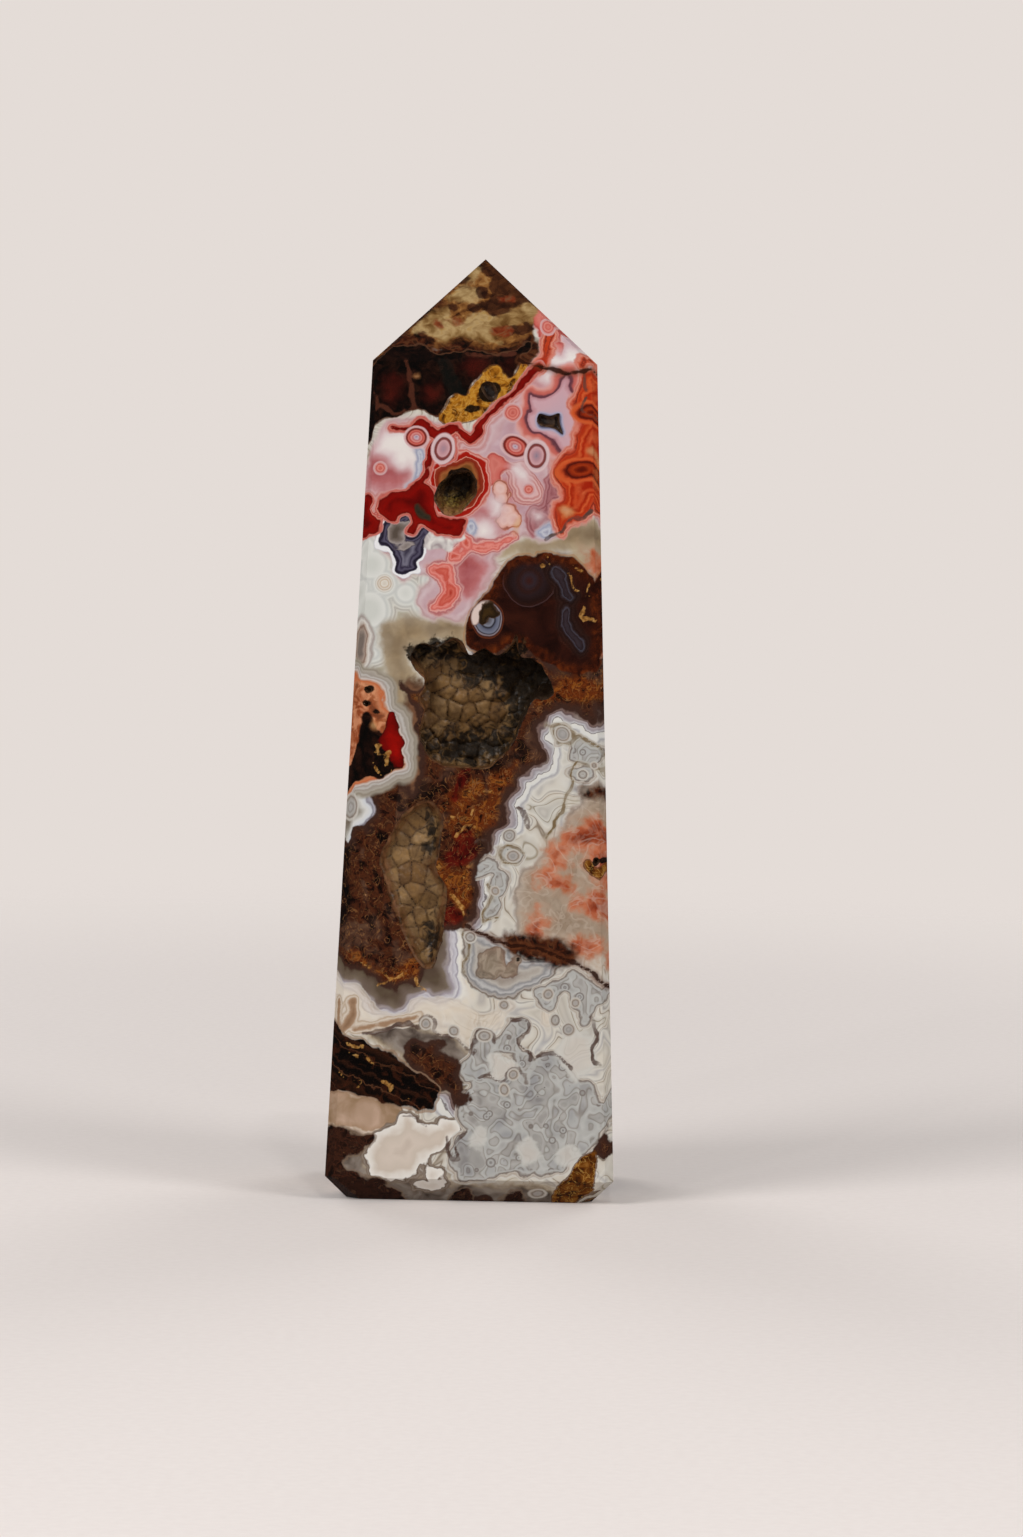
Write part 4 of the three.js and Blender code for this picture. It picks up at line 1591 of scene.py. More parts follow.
# %% White and grey ground
swell = pen.group(BLOTCHES, Size=4.2, Contrast=1.0, Detail=1.2, Swirl=0.7)
swell = pen.sum("MULTIPLY", swell, 9.0)
colour = rings(
    swell,
    "2:214,213,207 2.6:192,190,184 3:210,209,204 3.3:178,178,180 3.6:206,205,200 3.9:214,214,209 "
    "4.1:166,163,160 4.22:208,207,202 4.42:202,198,190 4.5:134,122,108 4.58:200,196,188 4.9:212,211,205 "
    "5.3:196,194,188 5.4:150,142,126 5.5:204,203,197 6:186,183,177 6.6:212,211,206"
)
paint(patchy, rgb(200, 188, 168), 0.3)
brown = pen.sum("MAXIMUM", pen.stored("rust"), pen.stored("lobe"))
brown = pen.sum("MULTIPLY_ADD", small_drift, 0.12, pen.sum("MULTIPLY_ADD", bubble, 0.7, brown))
calm = pen.step(pen.stored("calm"), 0.6, -0.6)
paint(times(pen.step(brown, -2.4, -1.7), calm), rings(
    brown,
    "-2.3:206,204,196 -1.9:214,213,208 -1.55:172,172,176 -1.4:214,215,214 -1:218,218,214 "
    "-.92:120,114,116 -.84:196,196,200 -.62:158,152,158 -.42:176,168,170 -.32:108,92,92 "
    "-.15:128,108,102 .05:70,50,44"))
coat(
    "bay",
    "-2.6:214,210,200 -2.2:222,214,196 -1.8:218,206,184 -1.6:204,196,190 -1.3:224,222,214 "
    "-.95:226,226,222 -.85:150,146,154 -.7:206,206,214 -.5:178,174,184 -.38:212,210,214 -.2:146,138,144 "
    "0:168,160,160 .25:118,104,98 1.2:92,76,66",
    "-2.6:206,204,198 -1.9:216,212,204 -1.3:222,221,216 -.9:196,196,204 -.75:164,160,170 "
    "-.6:210,210,214 -.3:170,164,172 0:150,142,142 .3:128,116,102 1.2:104,92,76",
    wander=0.1, scallop=0.5, soft=0.4,
)
coat(
    "pearls",
    "-1:150,144,124 -.6:178,174,160 -.42:204,203,196 -.3:176,172,166 -.15:210,210,204 0:188,188,184 "
    ".2:212,214,210 .45:198,201,199 .7:216,218,215 1.5:204,207,203",
    wander=0.06, soft=0.3,
)
coat(
    "smoke",
    "-.6:196,188,172 0:178,164,140 1:166,148,120 2.4:154,134,104",
    "-.6:176,168,156 0:156,142,122 1:142,126,104 2.4:122,102,80",
    wander=0.4, scallop=0.3, soft=0.6,
)
low = pen.step(height, 45.0, 38.0)
paint(times(inside(edge("smoke", 0.4), 0.4), low), shades(cloud, "84,74,68 124,114,106 152,144,136"))
coat(
    "strip",
    "-.5:140,124,104 0:124,98,78 .6:110,78,58",
    "-.5:122,104,86 0:90,62,46 .6:140,104,80",
    wander=0.5, soft=0.3,
)
drift, cloud, fine, patchy = release(drift, cloud, fine, patchy)
coat(
    "grey_eye",
    "-.7:196,196,192 -.5:168,160,156 -.3:212,210,206 -.1:186,174,164 0:140,118,106 .12:166,152,142 "
    ".35:126,116,110 .8:144,134,124",
    wander=0.1, soft=0.1,
)
coat(
    "inlet",
    "-.8:96,78,70 -.4:124,112,112 -.15:176,176,186 0:140,138,148 .2:206,210,216 .6:212,213,212 "
    "1:180,178,172 1.5:120,108,94",
    scallop=0.3, soft=0.2,
)
coat(
    "white_orbs",
    "-.15:196,194,188 0:216,214,208 .12:190,172,154 .2:214,211,204 .36:198,180,160 .46:218,215,208 "
    ".7:206,198,186",
    wander=0.05, soft=0.05,
)

# %% [markdown]
# ### Grey growths, sand and tan
# In the lower right the lace is crowded with small grey growths, each outlined in brown, like beads stuck
# together. The tan layers are older jasper. The salmon patches are iron in clear silica, with white wisps
# in front of them.

# %% Sand and salmon
drift, cloud, fine, patchy = release(drift, cloud, fine, patchy)
rough = pen.group(BLOTCHES, Size=1.1, Contrast=3.4, Detail=6.0, Swirl=0.9)
coat(
    "sand",
    "-.3:196,188,180 0:150,138,128 .25:178,166,154 1:150,132,114",
    "-.3:186,180,174 0:164,154,144 .5:184,172,158 1.4:168,154,138",
    wander=0.3, scallop=0.4, soft=0.2,
)
coat(
    "salmon",
    "-.7:176,150,130 -.2:180,118,88 .3:164,80,50 1.2:126,50,30",
    "-.7:178,156,138 -.2:186,142,118 .3:196,128,98 1.2:174,92,62",
    wander=0.8, scallop=0.4, soft=0.9,
)
rusty = pen.step(edge("salmon", 0.6), 0.2, 1.4)
paint(rusty, shades(rough, "84,30,18 128,56,32 174,96,62"), 0.5)
sandy = inside(edge("sand", 0.3, 0.4), 0.3)
paint(times(sandy, hairs(1.6, 0.08, 0.9)), rgb(196, 184, 170), 0.14)
paint(times(sandy, hairs(3.0, 0.035, 1.3)), rgb(204, 192, 180), 0.26)

# %% Tan layers and the oval
coat(
    "cream",
    "-.25:206,202,196 0:190,176,160 .12:216,209,198 .3:202,186,166 .45:219,212,202 .8:213,202,187 "
    "1.2:222,216,207 1.7:206,193,176",
    "-.25:211,208,203 0:208,201,191 .3:219,213,204 .6:209,198,183 1.7:223,218,209",
    wander=0.25, scallop=0.4, share=0.65,
)
coat("fold", "-.4:214,208,200 -.25:186,170,152 -.1:211,202,190 .1:168,142,118 .4:146,118,94")
coat(
    "slab",
    "-.35:96,80,70 -.1:196,180,166 .05:210,198,186 .2:178,152,130 .8:192,168,150",
    "-.35:96,80,70 -.1:170,148,124 .2:150,126,100 .8:160,136,112",
    wander=0.3, scallop=0.2,
)
coat(
    "cloud",
    "-.3:120,104,92 -.16:150,140,130 -.05:112,96,84 .06:226,224,220 .35:220,216,210 .9:203,193,182 "
    "1.8:210,200,190 2.6:196,184,173",
    wander=0.25, scallop=0.7,
)
coat(
    "oval",
    "-.3:196,195,190 -.1:124,112,102 .05:176,172,168 .3:140,140,142 .5:190,190,190 .8:150,150,152 "
    "1.1:186,182,176 1.6:160,152,144 2.4:172,158,146",
    wander=0.25, scallop=0.5,
)
coat(
    "pockets",
    "-.2:170,166,160 -.05:120,108,98 .1:166,156,142 .8:146,136,120",
    "-.2:166,158,152 -.05:128,104,92 .1:158,132,116 .8:162,150,134",
    wander=0.3,
)
paint(inside(edge("pockets", 0.3), 0.2), shades(rough, "92,80,72 134,120,106 170,158,144"), 0.6)

# %% Grey growths
drift, cloud, fine, patchy, rough = release(drift, cloud, fine, patchy, rough)
cluster = edge("cluster", 0.15, 0.8)
chips = pen.group(BLOTCHES, Size=1.15, Contrast=1.0, Detail=0.0)
grey = rings(
    chips,
    ".3:168,170,172 .36:134,128,124 .375:116,108,103 .4:168,169,168 .455:178,180,180 .475:186,188,187 "
    ".51:178,180,179 .54:134,126,121 .55:118,110,104 .58:158,155,152 .66:168,167,165 .72:146,143,141"
)
clumps = pen.group(BLOTCHES, Size=2.6, Contrast=2.6, Detail=1.0, Swirl=0.5)
grey = pen.mix(0.45, grey, shades(clumps, "146,146,148 180,181,178 196,196,193 158,156,153"))
ringed = pen.group(BEADS, Size=1.5, Share=0.55, Radius=0.36)
grey = pen.mix(pen.step(ringed, -0.1, 0.0), grey, rings(
    ringed,
    "-.1:182,183,182 0:130,122,117 .07:152,150,148 .18:182,184,183 .26:142,139,138 .4:180,181,181"))
paint(inside(cluster, 0.05), grey)
paint(pen.step(cluster, -0.45, -0.3, 0.0, pen.step(cluster, 0.3, 0.4, 0.8, 0.0)), rings(
    cluster,
    "-.3:204,204,200 -.2:176,166,156 -.1:194,189,182 0:116,103,95 .09:148,142,137 .18:184,185,183 "
    ".4:178,179,178"))
paint(inside(pen.group(BEADS, Size=0.8, Share=0.4, Radius=0.09), 0.03),
      rgb(92, 84, 80), times(inside(cluster, 0.1, 0.2), 0.8))
coat(
    "gaps",
    "-.3:196,196,192 0:206,206,202 .6:204,200,194",
    wander=0.4, scallop=0.6, soft=0.2, share=0.75,
)

# %% [markdown]
# ### The pink field
# Pale mauve silica, stained pink and red along its veins. Each growth in it has its own set of rings.

# %% Pinks
drift, cloud, fine, patchy, rough = release(drift, cloud, fine, patchy, rough)
coat(
    "blush",
    "-.3:206,190,188 0:184,152,154 .3:202,178,182 .8:190,158,164 1.6:200,176,184",
    "-.3:206,192,190 0:190,166,168 .5:208,192,198 1.2:196,172,178 2:186,152,160",
    wander=0.3, scallop=0.5, soft=0.4,
)
reds = pen.sum("MAXIMUM", pen.stored("scarlet"), pen.stored("orange"))
reds = pen.sum("MULTIPLY_ADD", drift, 0.2, pen.sum("MULTIPLY_ADD", bubble, 0.5, reds))
blushing = pen.step(edge("blush", 0.2), -0.1, 0.4)
paint(times(blushing, pen.step(reds, -2.1, -0.9, 0.0, 0.85)), rings(
    reds,
    "-2:204,184,188 -1.5:196,160,162 -1.1:206,184,188 -.8:192,142,142 -.6:208,178,178 -.42:190,124,118 "
    "-.26:214,178,170 -.1:196,108,96"))
coat(
    "rosy",
    "-.7:196,150,154 .3:176,104,106 1:160,82,84",
    "-.7:200,160,164 .3:188,122,124 1:176,108,112",
    wander=0.4, soft=0.7,
)
coat(
    "zone",
    "-.16:206,170,170 -.06:172,112,112 .08:208,166,164 .25:186,130,128 .42:216,184,182 .62:192,136,134 "
    ".85:214,180,180 1.3:204,164,164",
    scallop=0.3, soft=0.06,
)
coat(
    "mauve",
    "-.2:190,150,154 0:160,104,108 .15:182,134,138 .35:146,90,96 .5:172,120,124 .75:150,92,98 "
    "1.1:130,72,74",
    wander=0.2, scallop=0.2, soft=0.12,
)
drift, cloud, fine, patchy, rough = release(drift, cloud, fine, patchy, rough)
coat(
    "lobes",
    "-.25:216,182,178 -.06:176,86,80 .1:200,110,102 .5:206,130,120 1:192,104,96",
    wander=0.2, scallop=0.2,
)
coat(
    "fingers",
    "-.1:190,130,116 0:160,100,84 .1:214,168,156 .4:220,190,184 .8:212,176,172",
    scallop=0.2, soft=0.05,
)
coat("chalk", "-.35:208,184,188 .2:216,202,204 .8:226,220,218 1.6:228,224,220", wander=0.25, soft=0.75)
coat("bluish", "-.2:196,192,200 .1:160,164,184 .3:196,198,208 .5:150,152,172", wander=0.2, soft=0.25)
coat(
    "coral",
    "-.4:206,170,168 -.2:178,112,114 -.08:216,168,162 .1:204,110,102 .28:220,146,136 .5:196,92,80 "
    ".8:206,112,98 1.1:172,58,44",
    wander=0.25, scallop=0.5, soft=0.15,
)
coat(
    "star_zone",
    "-1.15:206,172,176 -.85:212,160,154 -.55:198,116,106 -.3:188,104,98 -.12:116,72,80 .04:108,66,78 "
    ".16:188,142,150 .5:202,168,176 1.5:196,168,178",
    wander=0.12, scallop=0.25, soft=0.3,
)
coat("star", "-.4:196,166,176 -.22:176,172,192 -.08:120,122,146 .06:74,66,72", wander=0.05)

# %% [markdown]
# ### Violet, the point, and orange
# The violet patch is banded agate with a white rim. The point is jasper, broken into blocks and healed.
# The orange runs in thick glassy skins down the right edge.

# %% Violet and the feather
drift, cloud, fine, patchy, rough = release(drift, cloud, fine, patchy, rough)
coat(
    "violet",
    "-.2:196,196,204 -.1:232,233,236 .08:228,230,234 .16:58,52,70 .35:40,34,50 .55:96,92,112 "
    ".72:62,56,76 1:124,122,138 1.4:74,70,86",
    wander=0.12, scallop=0.3, soft=0.04,
)
coat("grey_block", "-.1:70,62,74 .05:160,152,150 .3:128,118,112 .7:96,86,78", wander=0.2)
strokes = pen.group(BLOTCHES, Size=1.2, Contrast=2.4, Detail=1.0, Swirl=1.2)
paint(inside(edge("feather", 0.3, 0.6), 0.15), shades(strokes, "166,156,158 206,202,200 228,226,222"))

# %% The point
blocks = pen.group(PEBBLES, Size=1.5)
rubble = pen.sum("ADD", times(blocks, 0.4), times(rough, 0.6))
paint(inside(edge("tip", 0.2), 0.2), shades(rubble, "46,26,14 84,50,26 122,82,44 148,106,60 172,138,92"))
straw = pen.sum("ADD", times(patchy, 0.6), times(rough, 0.4))
pale = inside(edge("pale", 0.5, 0.2), 0.25)
paint(pale, shades(straw, "112,80,42 150,122,80 182,158,116 168,136,78"), 0.9)
paint(inside(edge("stain", 0.35), 0.14), shades(rubble, "38,20,14 62,34,22 84,46,28"), 0.9)
paint(inside(edge("umber", 0.3), 0.2), shades(rough, "108,42,22 134,64,36 124,86,60"), 0.85)
paint(inside(edge("bark", 0.5, 0.2), 0.5), shades(rough, "26,14,10 50,26,17 76,38,22 96,60,38 60,34,22"))

# %% Orange and garnet
drift, cloud, fine, patchy, rough = release(drift, cloud, fine, patchy, rough)
coat(
    "orange",
    "-.7:206,150,140 -.5:190,108,96 -.36:216,156,138 -.16:190,84,56 -.02:112,46,40 .1:196,82,46 "
    ".35:178,58,28 .55:210,106,62 .8:172,48,20 1.2:196,80,42 1.7:160,40,16",
    "-.7:206,156,146 -.4:206,128,112 -.1:180,70,46 .2:168,50,24 .6:192,84,44 .9:150,38,14 "
    "1.4:206,110,70 1.7:170,52,24",
    wander=0.3, scallop=0.5, soft=0.12,
)
coat(
    "garnet",
    "-.5:206,108,62 -.25:196,88,48 -.1:120,40,24 0:84,26,18 .12:140,48,22 .3:160,62,26 .5:110,32,14 "
    ".8:80,22,10",
    soft=0.15,
)

# %% [markdown]
# ### Iron
# The browns and reds are iron oxide. The rust is grainy and mottled, amber where light gets in. The
# maroon is glassy and almost black, with red glowing in it and pale seams. The lobe is dark glass with
# slate-blue arcs.

# %% Rust
drift, cloud, fine, patchy, rough = release(drift, cloud, fine, patchy, rough)
rust = edge("rust", 0.3, 0.6)
clots = pen.sum("ADD", times(pen.group(PEBBLES, Size=0.5), 0.3), times(rough, 0.7))


def blend(mask, new, share=1.0):
    """Lays a colour over the brown that is being mixed."""
    global iron
    iron = pen.mix(times(mask, share), iron, new)


iron = shades(clots, "16,9,7 36,18,12 62,32,20 88,50,30 62,34,22 112,76,52")
blend(pen.step(patchy, 0.45, 0.75), shades(rough, "52,38,32 84,64,54 112,88,72"), 0.55)
blend(pen.step(edge("amber", 0.8), -0.5, 0.5),
      shades(clots, "26,12,7 72,33,14 120,62,23 94,45,18 152,94,38 62,29,14 178,130,70"), 0.9)
blend(pen.step(edge("ruby", 0.5), -0.3, 0.3), shades(clots, "44,8,6 88,16,10 116,30,18"), 0.85)
blend(pen.step(edge("night", 0.6), -0.6, 0.6), shades(rough, "12,8,7 24,14,11 50,28,20"), 0.8)
# pale specks in the rust: partly pale grains, partly painted glints
blend(specks(1.1, 0.22, 0.12, 0.0, 0.05), rgb(176, 136, 100), 0.7)
blend(specks(0.7, 0.3, 0.14, 0.0, 0.08), rgb(22, 12, 9), 0.6)
blend(hairs(1.5, 0.014, 1.6), rgb(150, 110, 70), 0.5)
blend(pen.step(rust, 1.1, 0.1), rgb(72, 50, 42))
paint(inside(rust, 0.15), iron)

# %% Lobe
drift, cloud, fine, patchy, rough, clots = release(drift, cloud, fine, patchy, rough, clots)
lobe = edge("lobe", 0.15, 0.2)
iron = shades(cloud, "36,15,10 50,23,16 62,30,20")
slate, slate_band = edge("slate", 0.12), edge("slate_band", 0.2)
blend(pen.step(slate, -0.1, 0.05), rings(
    slate,
    "-.1:70,46,40 .02:78,60,62 .1:54,30,24 .5:42,25,22 1.1:50,36,38 1.5:56,33,29 2:58,46,52 "
    "2.5:66,34,28"))
blend(pen.step(slate_band, -0.9, -0.5), rings(
    slate_band,
    "-.9:52,28,20 -.75:70,48,42 -.62:44,24,18 -.4:56,38,34 -.25:40,23,19 -.05:54,44,46 .1:80,80,92 "
    ".2:50,40,44 .45:64,58,66"), 0.8)
blend(pen.step(lobe, 1.3, 0.2), shades(clots, "40,15,8 78,34,14 112,56,22"))
paint(inside(lobe, 0.12), iron)
paint(times(at_line(lobe, -0.14, 0.26), pen.step(pen.stored("rust"), 0.0, -0.5)), rgb(168, 124, 84), 0.5)
coat(
    "big_orb",
    "-.16:112,60,36 0:70,40,34 .1:150,142,150 .2:52,46,54 .3:122,126,142 .6:100,104,122 .75:44,40,46 "
    ".88:132,136,150 1.1:108,108,118 1.4:84,74,66",
    wander=0.05, soft=0.05,
)
coat("crescent", "-.1:110,84,80 .08:214,198,192", wander=0.08, soft=0.06)
coat("orb_shade", "-.1:80,60,44 .1:44,32,20 .5:70,52,28", wander=0.3)

# %% Maroon
drift, cloud, fine, patchy, rough, clots = release(drift, cloud, fine, patchy, rough, clots)
maroon = edge("maroon", 0.2, 0.3)
iron = shades(rough, "12,9,7 20,12,9 32,17,12 46,26,18")
blend(pen.step(edge("ember", 0.6), -0.3, 1.3), shades(cloud, "54,18,12 84,28,20"), 0.8)
slick = inside(edge("slick", 0.2), 0.15)
blend(slick, rgb(30, 31, 27), 0.5)
blend(specks(0.4, 0.4, 0.2, 0.0, 0.04), rgb(104, 106, 96), times(slick, 0.6))
blend(pen.step(edge("vein", 0.2), -0.14, 0.08), rgb(112, 66, 50), 0.5)
# pale specks in the dark maroon: painted glints
blend(specks(1.6, 0.3, 0.07, 0.0, 0.04), rgb(170, 160, 140), 0.8)
paint(inside(maroon, 0.12), iron)
paint(at_line(maroon, 0.02, 0.22), rgb(112, 78, 58), 0.5)

# %% Dark layers and the foot
drift, cloud, fine, patchy, rough, clots = release(drift, cloud, fine, patchy, rough, clots)
slope = pen.sum("MULTIPLY_ADD", drift, 0.6, pen.stored("slope"))
beds = rings(pen.sum("FRACT", pen.sum("DIVIDE", slope, 4.2)),
             "0:12,8,6 .1:26,15,10 .13:84,54,36 .16:20,12,9 .34:58,33,20 .4:18,11,8 .52:30,17,12 "
             ".56:96,64,44 .59:24,14,10 .72:14,9,7 .8:58,34,22 .84:20,12,9 1:12,8,6")
layers = edge("layers", 0.2, 0.2)
paint(at_line(layers, -0.12, 0.3), rgb(150, 124, 102), 0.7)
paint(inside(layers, 0.1), beds)
paint(inside(layers, 0.1), rgb(72, 38, 22), times(pen.step(rough, 0.55, 0.95), 0.6))
foot = edge("foot", 0.35, 0.3)
paint(at_line(foot, -0.1, 0.4), rgb(132, 112, 94), 0.6)
paint(inside(foot, 0.14), shades(clots, "18,11,8 42,24,17 70,42,30 48,28,21 92,66,50"))

# %% The dome, ochre and scarlet
drift, cloud, fine, patchy, rough, clots = release(drift, cloud, fine, patchy, rough, clots)
dome = edge("dome", 0.15, 0.2)
paint(pen.step(dome, -1.7, -1.2), rings(
    dome,
    "-1.7:150,142,124 -1.35:164,158,146 -1.15:150,142,130 -1:174,169,160 -.75:160,153,145 "
    "-.6:190,187,183 -.42:166,157,151 -.25:202,194,190 -.08:186,150,130 .08:190,112,74 .5:204,146,110 "
    "1.2:196,132,92 2:176,96,60"))
paint(pen.step(dome, 0.1, 0.9), shades(rough, "96,44,26 150,84,52 206,150,116"), 0.8)
paint(inside(maroon, 0.12), iron, pen.step(height, 50.0, 52.0, 1.0, 0.0))
ochre = edge("ochre", 0.2, 0.2)
iron = shades(rough, "74,44,14 132,84,22 172,118,38 190,142,58 150,100,30")
blend(pen.step(height, 60.0, 45.0), shades(clots, "48,25,9 88,50,17 122,76,27 150,106,50"))
blend(specks(0.9, 0.4, 0.2, -0.02, 0.1), rgb(46, 30, 14), 0.75)
blend(hairs(0.9, 0.03, 1.0), rgb(206, 166, 92), 0.45)
paint(inside(ochre, 0.1), iron)
paint(at_line(ochre, -0.04, 0.16), rgb(96, 62, 30), 0.75)
drift, cloud, fine, patchy, rough, clots = release(drift, cloud, fine, patchy, rough, clots)
coat(
    "moat",
    "-.35:212,172,166 -.2:190,104,94 -.08:214,164,154 .04:168,36,24 .36:158,34,22 .44:216,160,142 "
    ".52:150,60,42 .85:132,48,28 1.2:158,100,60 1.5:120,78,40",
    scallop=0.2, soft=0.12,
)
coat(
    "scarlet",
    "-.3:206,160,154 -.16:180,84,76 -.06:214,146,132 .03:120,17,10 .2:148,26,16 .5:130,15,8 1:102,10,5 "
    "1.6:80,8,5",
    "-.3:200,150,146 -.1:196,104,92 .03:104,11,7 .3:122,16,9 .6:140,19,10 1:112,12,7 1.6:74,7,5",
    scallop=0.3,
)
coat("blood", "-.1:90,14,8 .1:140,16,8 .6:164,20,9", "-.1:60,10,7 .1:100,10,6 .6:122,11,6", wander=0.3)
coat("moss", "-.1:96,30,18 .1:62,54,42 .4:44,40,32", wander=0.1, soft=0.06)
# painted glows and a painted highlight in pale yellow, and beads
coat("light", "-.15:200,140,92 .1:206,168,122 .5:220,200,164", wander=0.25, soft=0.3, share=0.55)

# %% [markdown]
# ### Lines, eyes and specks
# Last come the small things: dark outlines, ringed eyes, pits darkened with painted shade, painted
# shadow under the largest hollow's upper rim, the two cracks, and gold-coloured threads.

# %% Lines and eyes
drift, cloud, fine, patchy, rough, clots = release(drift, cloud, fine, patchy, rough, clots)
paint(pen.step(edge("dark", 0.12), -0.1, 0.03), rgb(92, 74, 68), pen.step(cloud, 0.0, 1.0, 0.95, 0.4))
olive = edge("olive", 0.1)
paint(pen.step(olive, -0.3, -0.05), rgb(176, 170, 154), 0.4)
paint(pen.step(olive, -0.06, 0.04), rgb(120, 100, 68), pen.step(cloud, 0.0, 1.0, 0.9, 0.4))
coat(
    "warm_orbs",
    "-.35:212,186,190 -.18:206,168,168 -.08:120,48,44 .03:140,56,50 .12:204,116,104 .26:186,86,80 "
    ".38:210,150,144 .52:188,118,118 .66:196,178,190 .8:84,84,108",
    wander=0.05,
)
coat(
    "ghost_orbs",
    "-.5:204,174,178 -.4:214,192,194 -.22:206,182,186 -.12:122,66,64 .02:138,78,78 .12:204,164,168 "
    ".4:184,146,154 .65:164,140,152 .8:130,124,144",
    wander=0.05,
)
coat(
    "pale_orbs",
    "-.3:206,180,184 -.1:204,150,146 0:190,96,88 .12:214,144,134 .28:196,104,94 .4:208,130,120 "
    ".6:180,84,76",
    wander=0.05,
)
coat(
    "cool_orbs",
    "-.22:196,194,188 -.1:200,198,193 0:130,120,112 .07:158,153,148 .2:184,183,179 .3:154,149,145 "
    ".42:182,181,179 .6:146,142,141",
    "-.22:200,198,192 -.1:180,172,164 0:148,136,124 .1:176,172,168 .25:156,154,152 .6:174,172,170",
    wander=0.06,
)
# painted shade in pits and holes, over their dark filling, and painted shadow under the hollows' rims
paint(inside(edge("voids"), 0.07), shades(fine, "12,9,7 22,15,11 48,36,24"), 0.96)
# painted shadow under the largest hollow's upper rim, near black
paint(inside(edge("coal", 0.8), 0.2), shades(fine, "10,8,6 26,19,13 78,58,38"), 0.9)
crack = edge("crack", 0.08)
paint(pen.step(crack, -0.55, -0.05), rgb(112, 66, 40), 0.5)
paint(pen.step(crack, -0.16, -0.02), rgb(52, 25, 14), 0.92)
threads = pen.step(edge("threads", 0.25), -0.05, 0.06)
paint(threads, shades(fine, "110,74,34 176,132,72 206,170,112"), 0.75)

# %% Finish the stone
QUARTZ = 1.54  # how strongly quartz bends light
POLISH = 0.08
BROKEN = 0.42  # roughness of the unpolished break inside
DEPTH = 1.14  # polish deepens the colours, the dark ones most
WARMTH = (255, 252, 249)
colour = pen.node("ShaderNodeGamma", {"Color": colour, "Gamma": DEPTH}).outputs[0]
colour = pen.mix(1.0, colour, rgb(*WARMTH), "MULTIPLY")
buried = pen.step(pen.stored("buried"), 0.05, 0.35)
paint(buried, shades(rough, "30,20,14 66,44,30 96,70,48"))
grain = pen.group(BLOTCHES, Size=0.35, Contrast=2.5)
coarse = pen.sum("MAXIMUM", times(pen.step(pen.stored("rust"), -0.2, 0.4), 0.5), buried)
bump = pen.node("ShaderNodeBump", {"Height": times(grain, coarse), "Strength": 0.5, "Distance": 0.00008})
surface = pen.node("ShaderNodeBsdfPrincipled", {
    "Base Color": colour, "Roughness": pen.span(buried, 0, 1, POLISH, BROKEN), "IOR": QUARTZ,
    "Normal": bump.outputs[0],
})
pen.node("ShaderNodeOutputMaterial", {"Surface": surface.outputs[0]})
stone.data.materials.append(agate)
print("agate nodes:", len(agate.node_tree.nodes))

# %% [markdown]
# ## The crystal crusts
# Iron-stained quartz: smoky olive-brown tops, dark seams where knobs meet, rust near the mouth, and
# painted shade, almost black, where no light reaches. What glints there are come from the tilted tops,
# not from bright paint.

# %% Crystal material
crystal, pen = open_material("vug_crystals")
cloud = pen.group(BLOTCHES, Size=2.0, Contrast=3.0, Swirl=0.5)
fine = pen.group(BLOTCHES, Size=0.2, Contrast=2.5)
rough = pen.group(BLOTCHES, Size=0.9, Contrast=3.4, Detail=6.0, Swirl=0.9)
colour = shades(pen.stored("cell_tone"), "108,78,45 131,99,60 142,112,74 114,85,50")
paint(rough, rgb(66, 42, 24), 0.45)
paint(pen.step(pen.stored("gold"), -0.4, 0.5), shades(fine, "84,62,22 146,118,48 188,164,88"), 0.85)
seam = pen.sum("MULTIPLY_ADD", fine, 0.12, pen.stored("seam"))
paint(pen.step(seam, 0.4, 0.12), rgb(58, 37, 21), 0.5)
paint(pen.step(seam, 0.13, 0.07), rgb(26, 15, 8), 0.8)
rim_gap = pen.sum("MULTIPLY_ADD", cloud, 0.8, pen.stored("rim_gap"))
paint(pen.step(rim_gap, 1.7, 0.4), shades(rough, "46,26,15 92,52,28 132,88,56"), 0.8)
# painted shade: the crust is painted almost black inside the shade discs, deep in the pockets
shade = pen.sum("MULTIPLY_ADD", rough, 1.6, pen.stored("shade"))
paint(pen.step(shade, 0.1, 1.7), shades(fine, "10,8,6 26,20,14 44,33,22"), 0.92)
bump = pen.node("ShaderNodeBump", {"Height": fine, "Strength": 0.35, "Distance": 0.00006})
surface = pen.node("ShaderNodeBsdfPrincipled", {
    "Base Color": colour, "Roughness": pen.step(rough, 0.2, 0.8, 0.3, 0.6), "IOR": QUARTZ,
    "Specular IOR Level": 0.16, "Normal": bump.outputs[0],
})
pen.node("ShaderNodeOutputMaterial", {"Surface": surface.outputs[0]})

for name, crust in crusts.items():
    crust.data.materials.append(crystal)
    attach(crust, "root")
    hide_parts(name + "_crystals")
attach(stone, "root")
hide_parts("agate_tower")
print("crystal nodes:", len(crystal.node_tree.nodes))

# %% [markdown]
# ## The studio
# Only the stone is rebuilt, so it stands on a plain pale floor in soft light. Its polished front is a
# mirror that looks straight back past the camera, so nothing bright stands there: the light comes from
# both sides and above, and a few small lamps put the glints in the crystals.

# %% Floor, light and camera
FLOOR_RADIUS = 0.42
FADE_FROM = 0.2  # the floor fades into the air beyond this distance
CAMERA_DISTANCE = 0.6
CAMERA_RISE = math.radians(3.53)
CAMERA_ROLL = math.radians(1.13)
CAMERA_LENS = 137.99
TARGET = Vector((3.43, 0.0, 42.88)) * MM
AIR_SEEN = rgb(228, 220, 215)
AIR_GLOW = 0.24
AIR_MIRRORED = 0.04

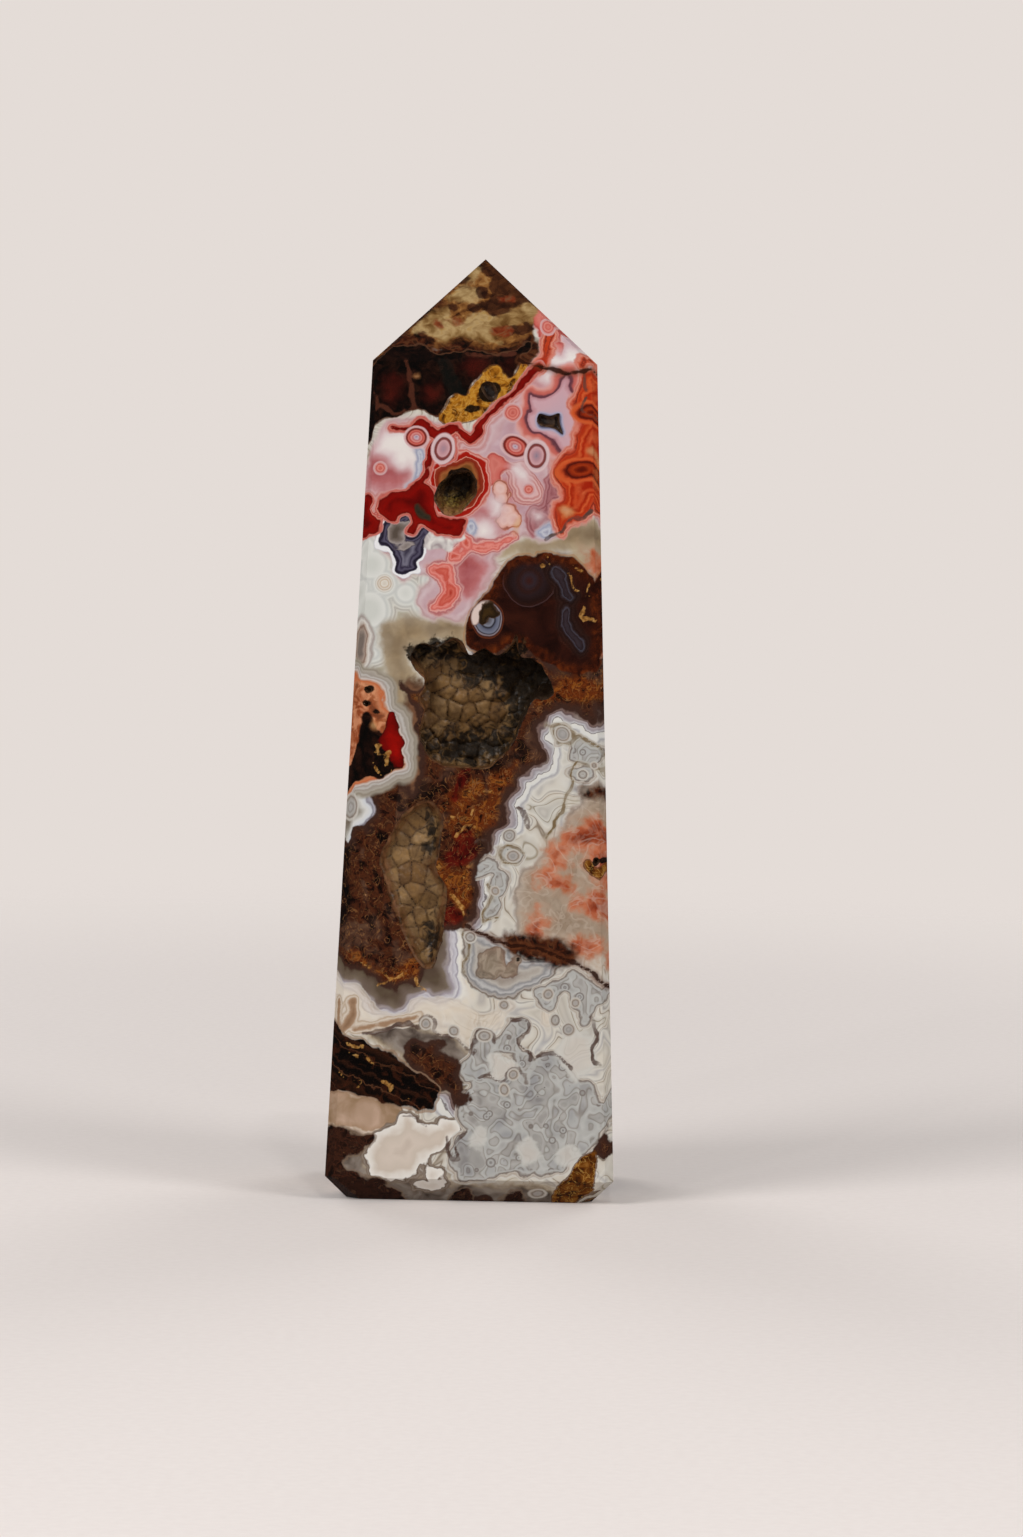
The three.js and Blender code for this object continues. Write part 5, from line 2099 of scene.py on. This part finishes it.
bm = bmesh.new()
bmesh.ops.create_circle(bm, cap_ends=True, segments=96, radius=FLOOR_RADIUS)
floor_mesh = bpy.data.meshes.new("floor")
bm.to_mesh(floor_mesh)
bm.free()
floor = link("floor", floor_mesh)
floor_finish, pen = open_material("floor")
grains = pen.node("ShaderNodeTexNoise", {"Scale": 900.0}).outputs[0]
surface = pen.node("ShaderNodeBsdfPrincipled", {
    "Base Color": shades(grains, "222,212,207 230,221,216"), "Roughness": 0.75,
})
place = pen.node("ShaderNodeTexCoord").outputs["Object"]
far = pen.node("ShaderNodeVectorMath", {0: place}, operation="LENGTH").outputs["Value"]
gone = pen.step(far, FADE_FROM, FLOOR_RADIUS)
clear = pen.node("ShaderNodeBsdfTransparent")
blend = pen.node("ShaderNodeMixShader", {0: gone, 1: surface.outputs[0], 2: clear.outputs[0]})
pen.node("ShaderNodeOutputMaterial", {"Surface": blend.outputs[0]})
floor_mesh.materials.append(floor_finish)
floor.visible_glossy = False  # or its mirror image hazes the foot of the dark stone

world = bpy.data.worlds.new("air")
bpy.context.scene.world = world
world.use_nodes = True
world.node_tree.nodes.clear()
pen = Pen(world.node_tree)
path = pen.node("ShaderNodeLightPath")
glow, mirrored_glow = ([strength] * 3 + [1.0] for strength in (AIR_GLOW, AIR_MIRRORED))
tone = pen.mix(path.outputs["Is Glossy Ray"], glow, mirrored_glow)
tone = pen.mix(path.outputs["Is Camera Ray"], tone, AIR_SEEN)
air = pen.node("ShaderNodeBackground", {"Color": tone, "Strength": 1.0})
pen.node("ShaderNodeOutputWorld", {"Surface": air.outputs[0]})


def softbox(name, azimuth, elevation, distance, size, watts):
    """An area light that faces the middle of the stone, at angles seen from the front."""
    lamp = bpy.data.lights.new(name, "AREA")
    lamp.shape = "DISK"
    lamp.size = size
    lamp.energy = watts
    holder = link(name, lamp)
    a, e = math.radians(azimuth), math.radians(elevation)
    back = Vector((math.sin(a) * math.cos(e), -math.cos(a) * math.cos(e), math.sin(e)))
    holder.location = Vector((0, 0, HEIGHT * MM / 2)) + back * distance
    holder.rotation_euler = back.to_track_quat("Z", "Y").to_euler()


# Each light: its angle round the stone and its angle up, its distance, its size and its watts
LIGHTS = {
    "key": (-48, 34, 0.75, 0.34, 2.7),
    "fill": (52, 30, 0.75, 0.34, 2.1),
    "rear_left": (-152, 16, 0.8, 0.4, 2.0),
    "rear_right": (152, 16, 0.8, 0.4, 2.0),
    "glint_high": (12, 62, 0.6, 0.03, 0.3),
    "glint_low": (-24, 26, 0.6, 0.02, 0.2),
    "glint_right": (28, 12, 0.6, 0.02, 0.16),
}
for name, numbers in LIGHTS.items():
    softbox(name, *numbers)

camera = link("camera", bpy.data.cameras.new("camera"))
camera.data.lens = CAMERA_LENS
camera.data.clip_end = 10
back = Vector((0, -math.cos(CAMERA_RISE), math.sin(CAMERA_RISE)))
camera.location = TARGET + back * CAMERA_DISTANCE
turn = Matrix.Rotation(CAMERA_ROLL, 3, back)
camera.rotation_euler = (turn @ back.to_track_quat("Z", "Y").to_matrix()).to_euler()
bpy.context.scene.camera = camera

view = bpy.context.scene.view_settings
view.view_transform = "Standard"
view.look = "None"
print("lights:", len(LIGHTS))
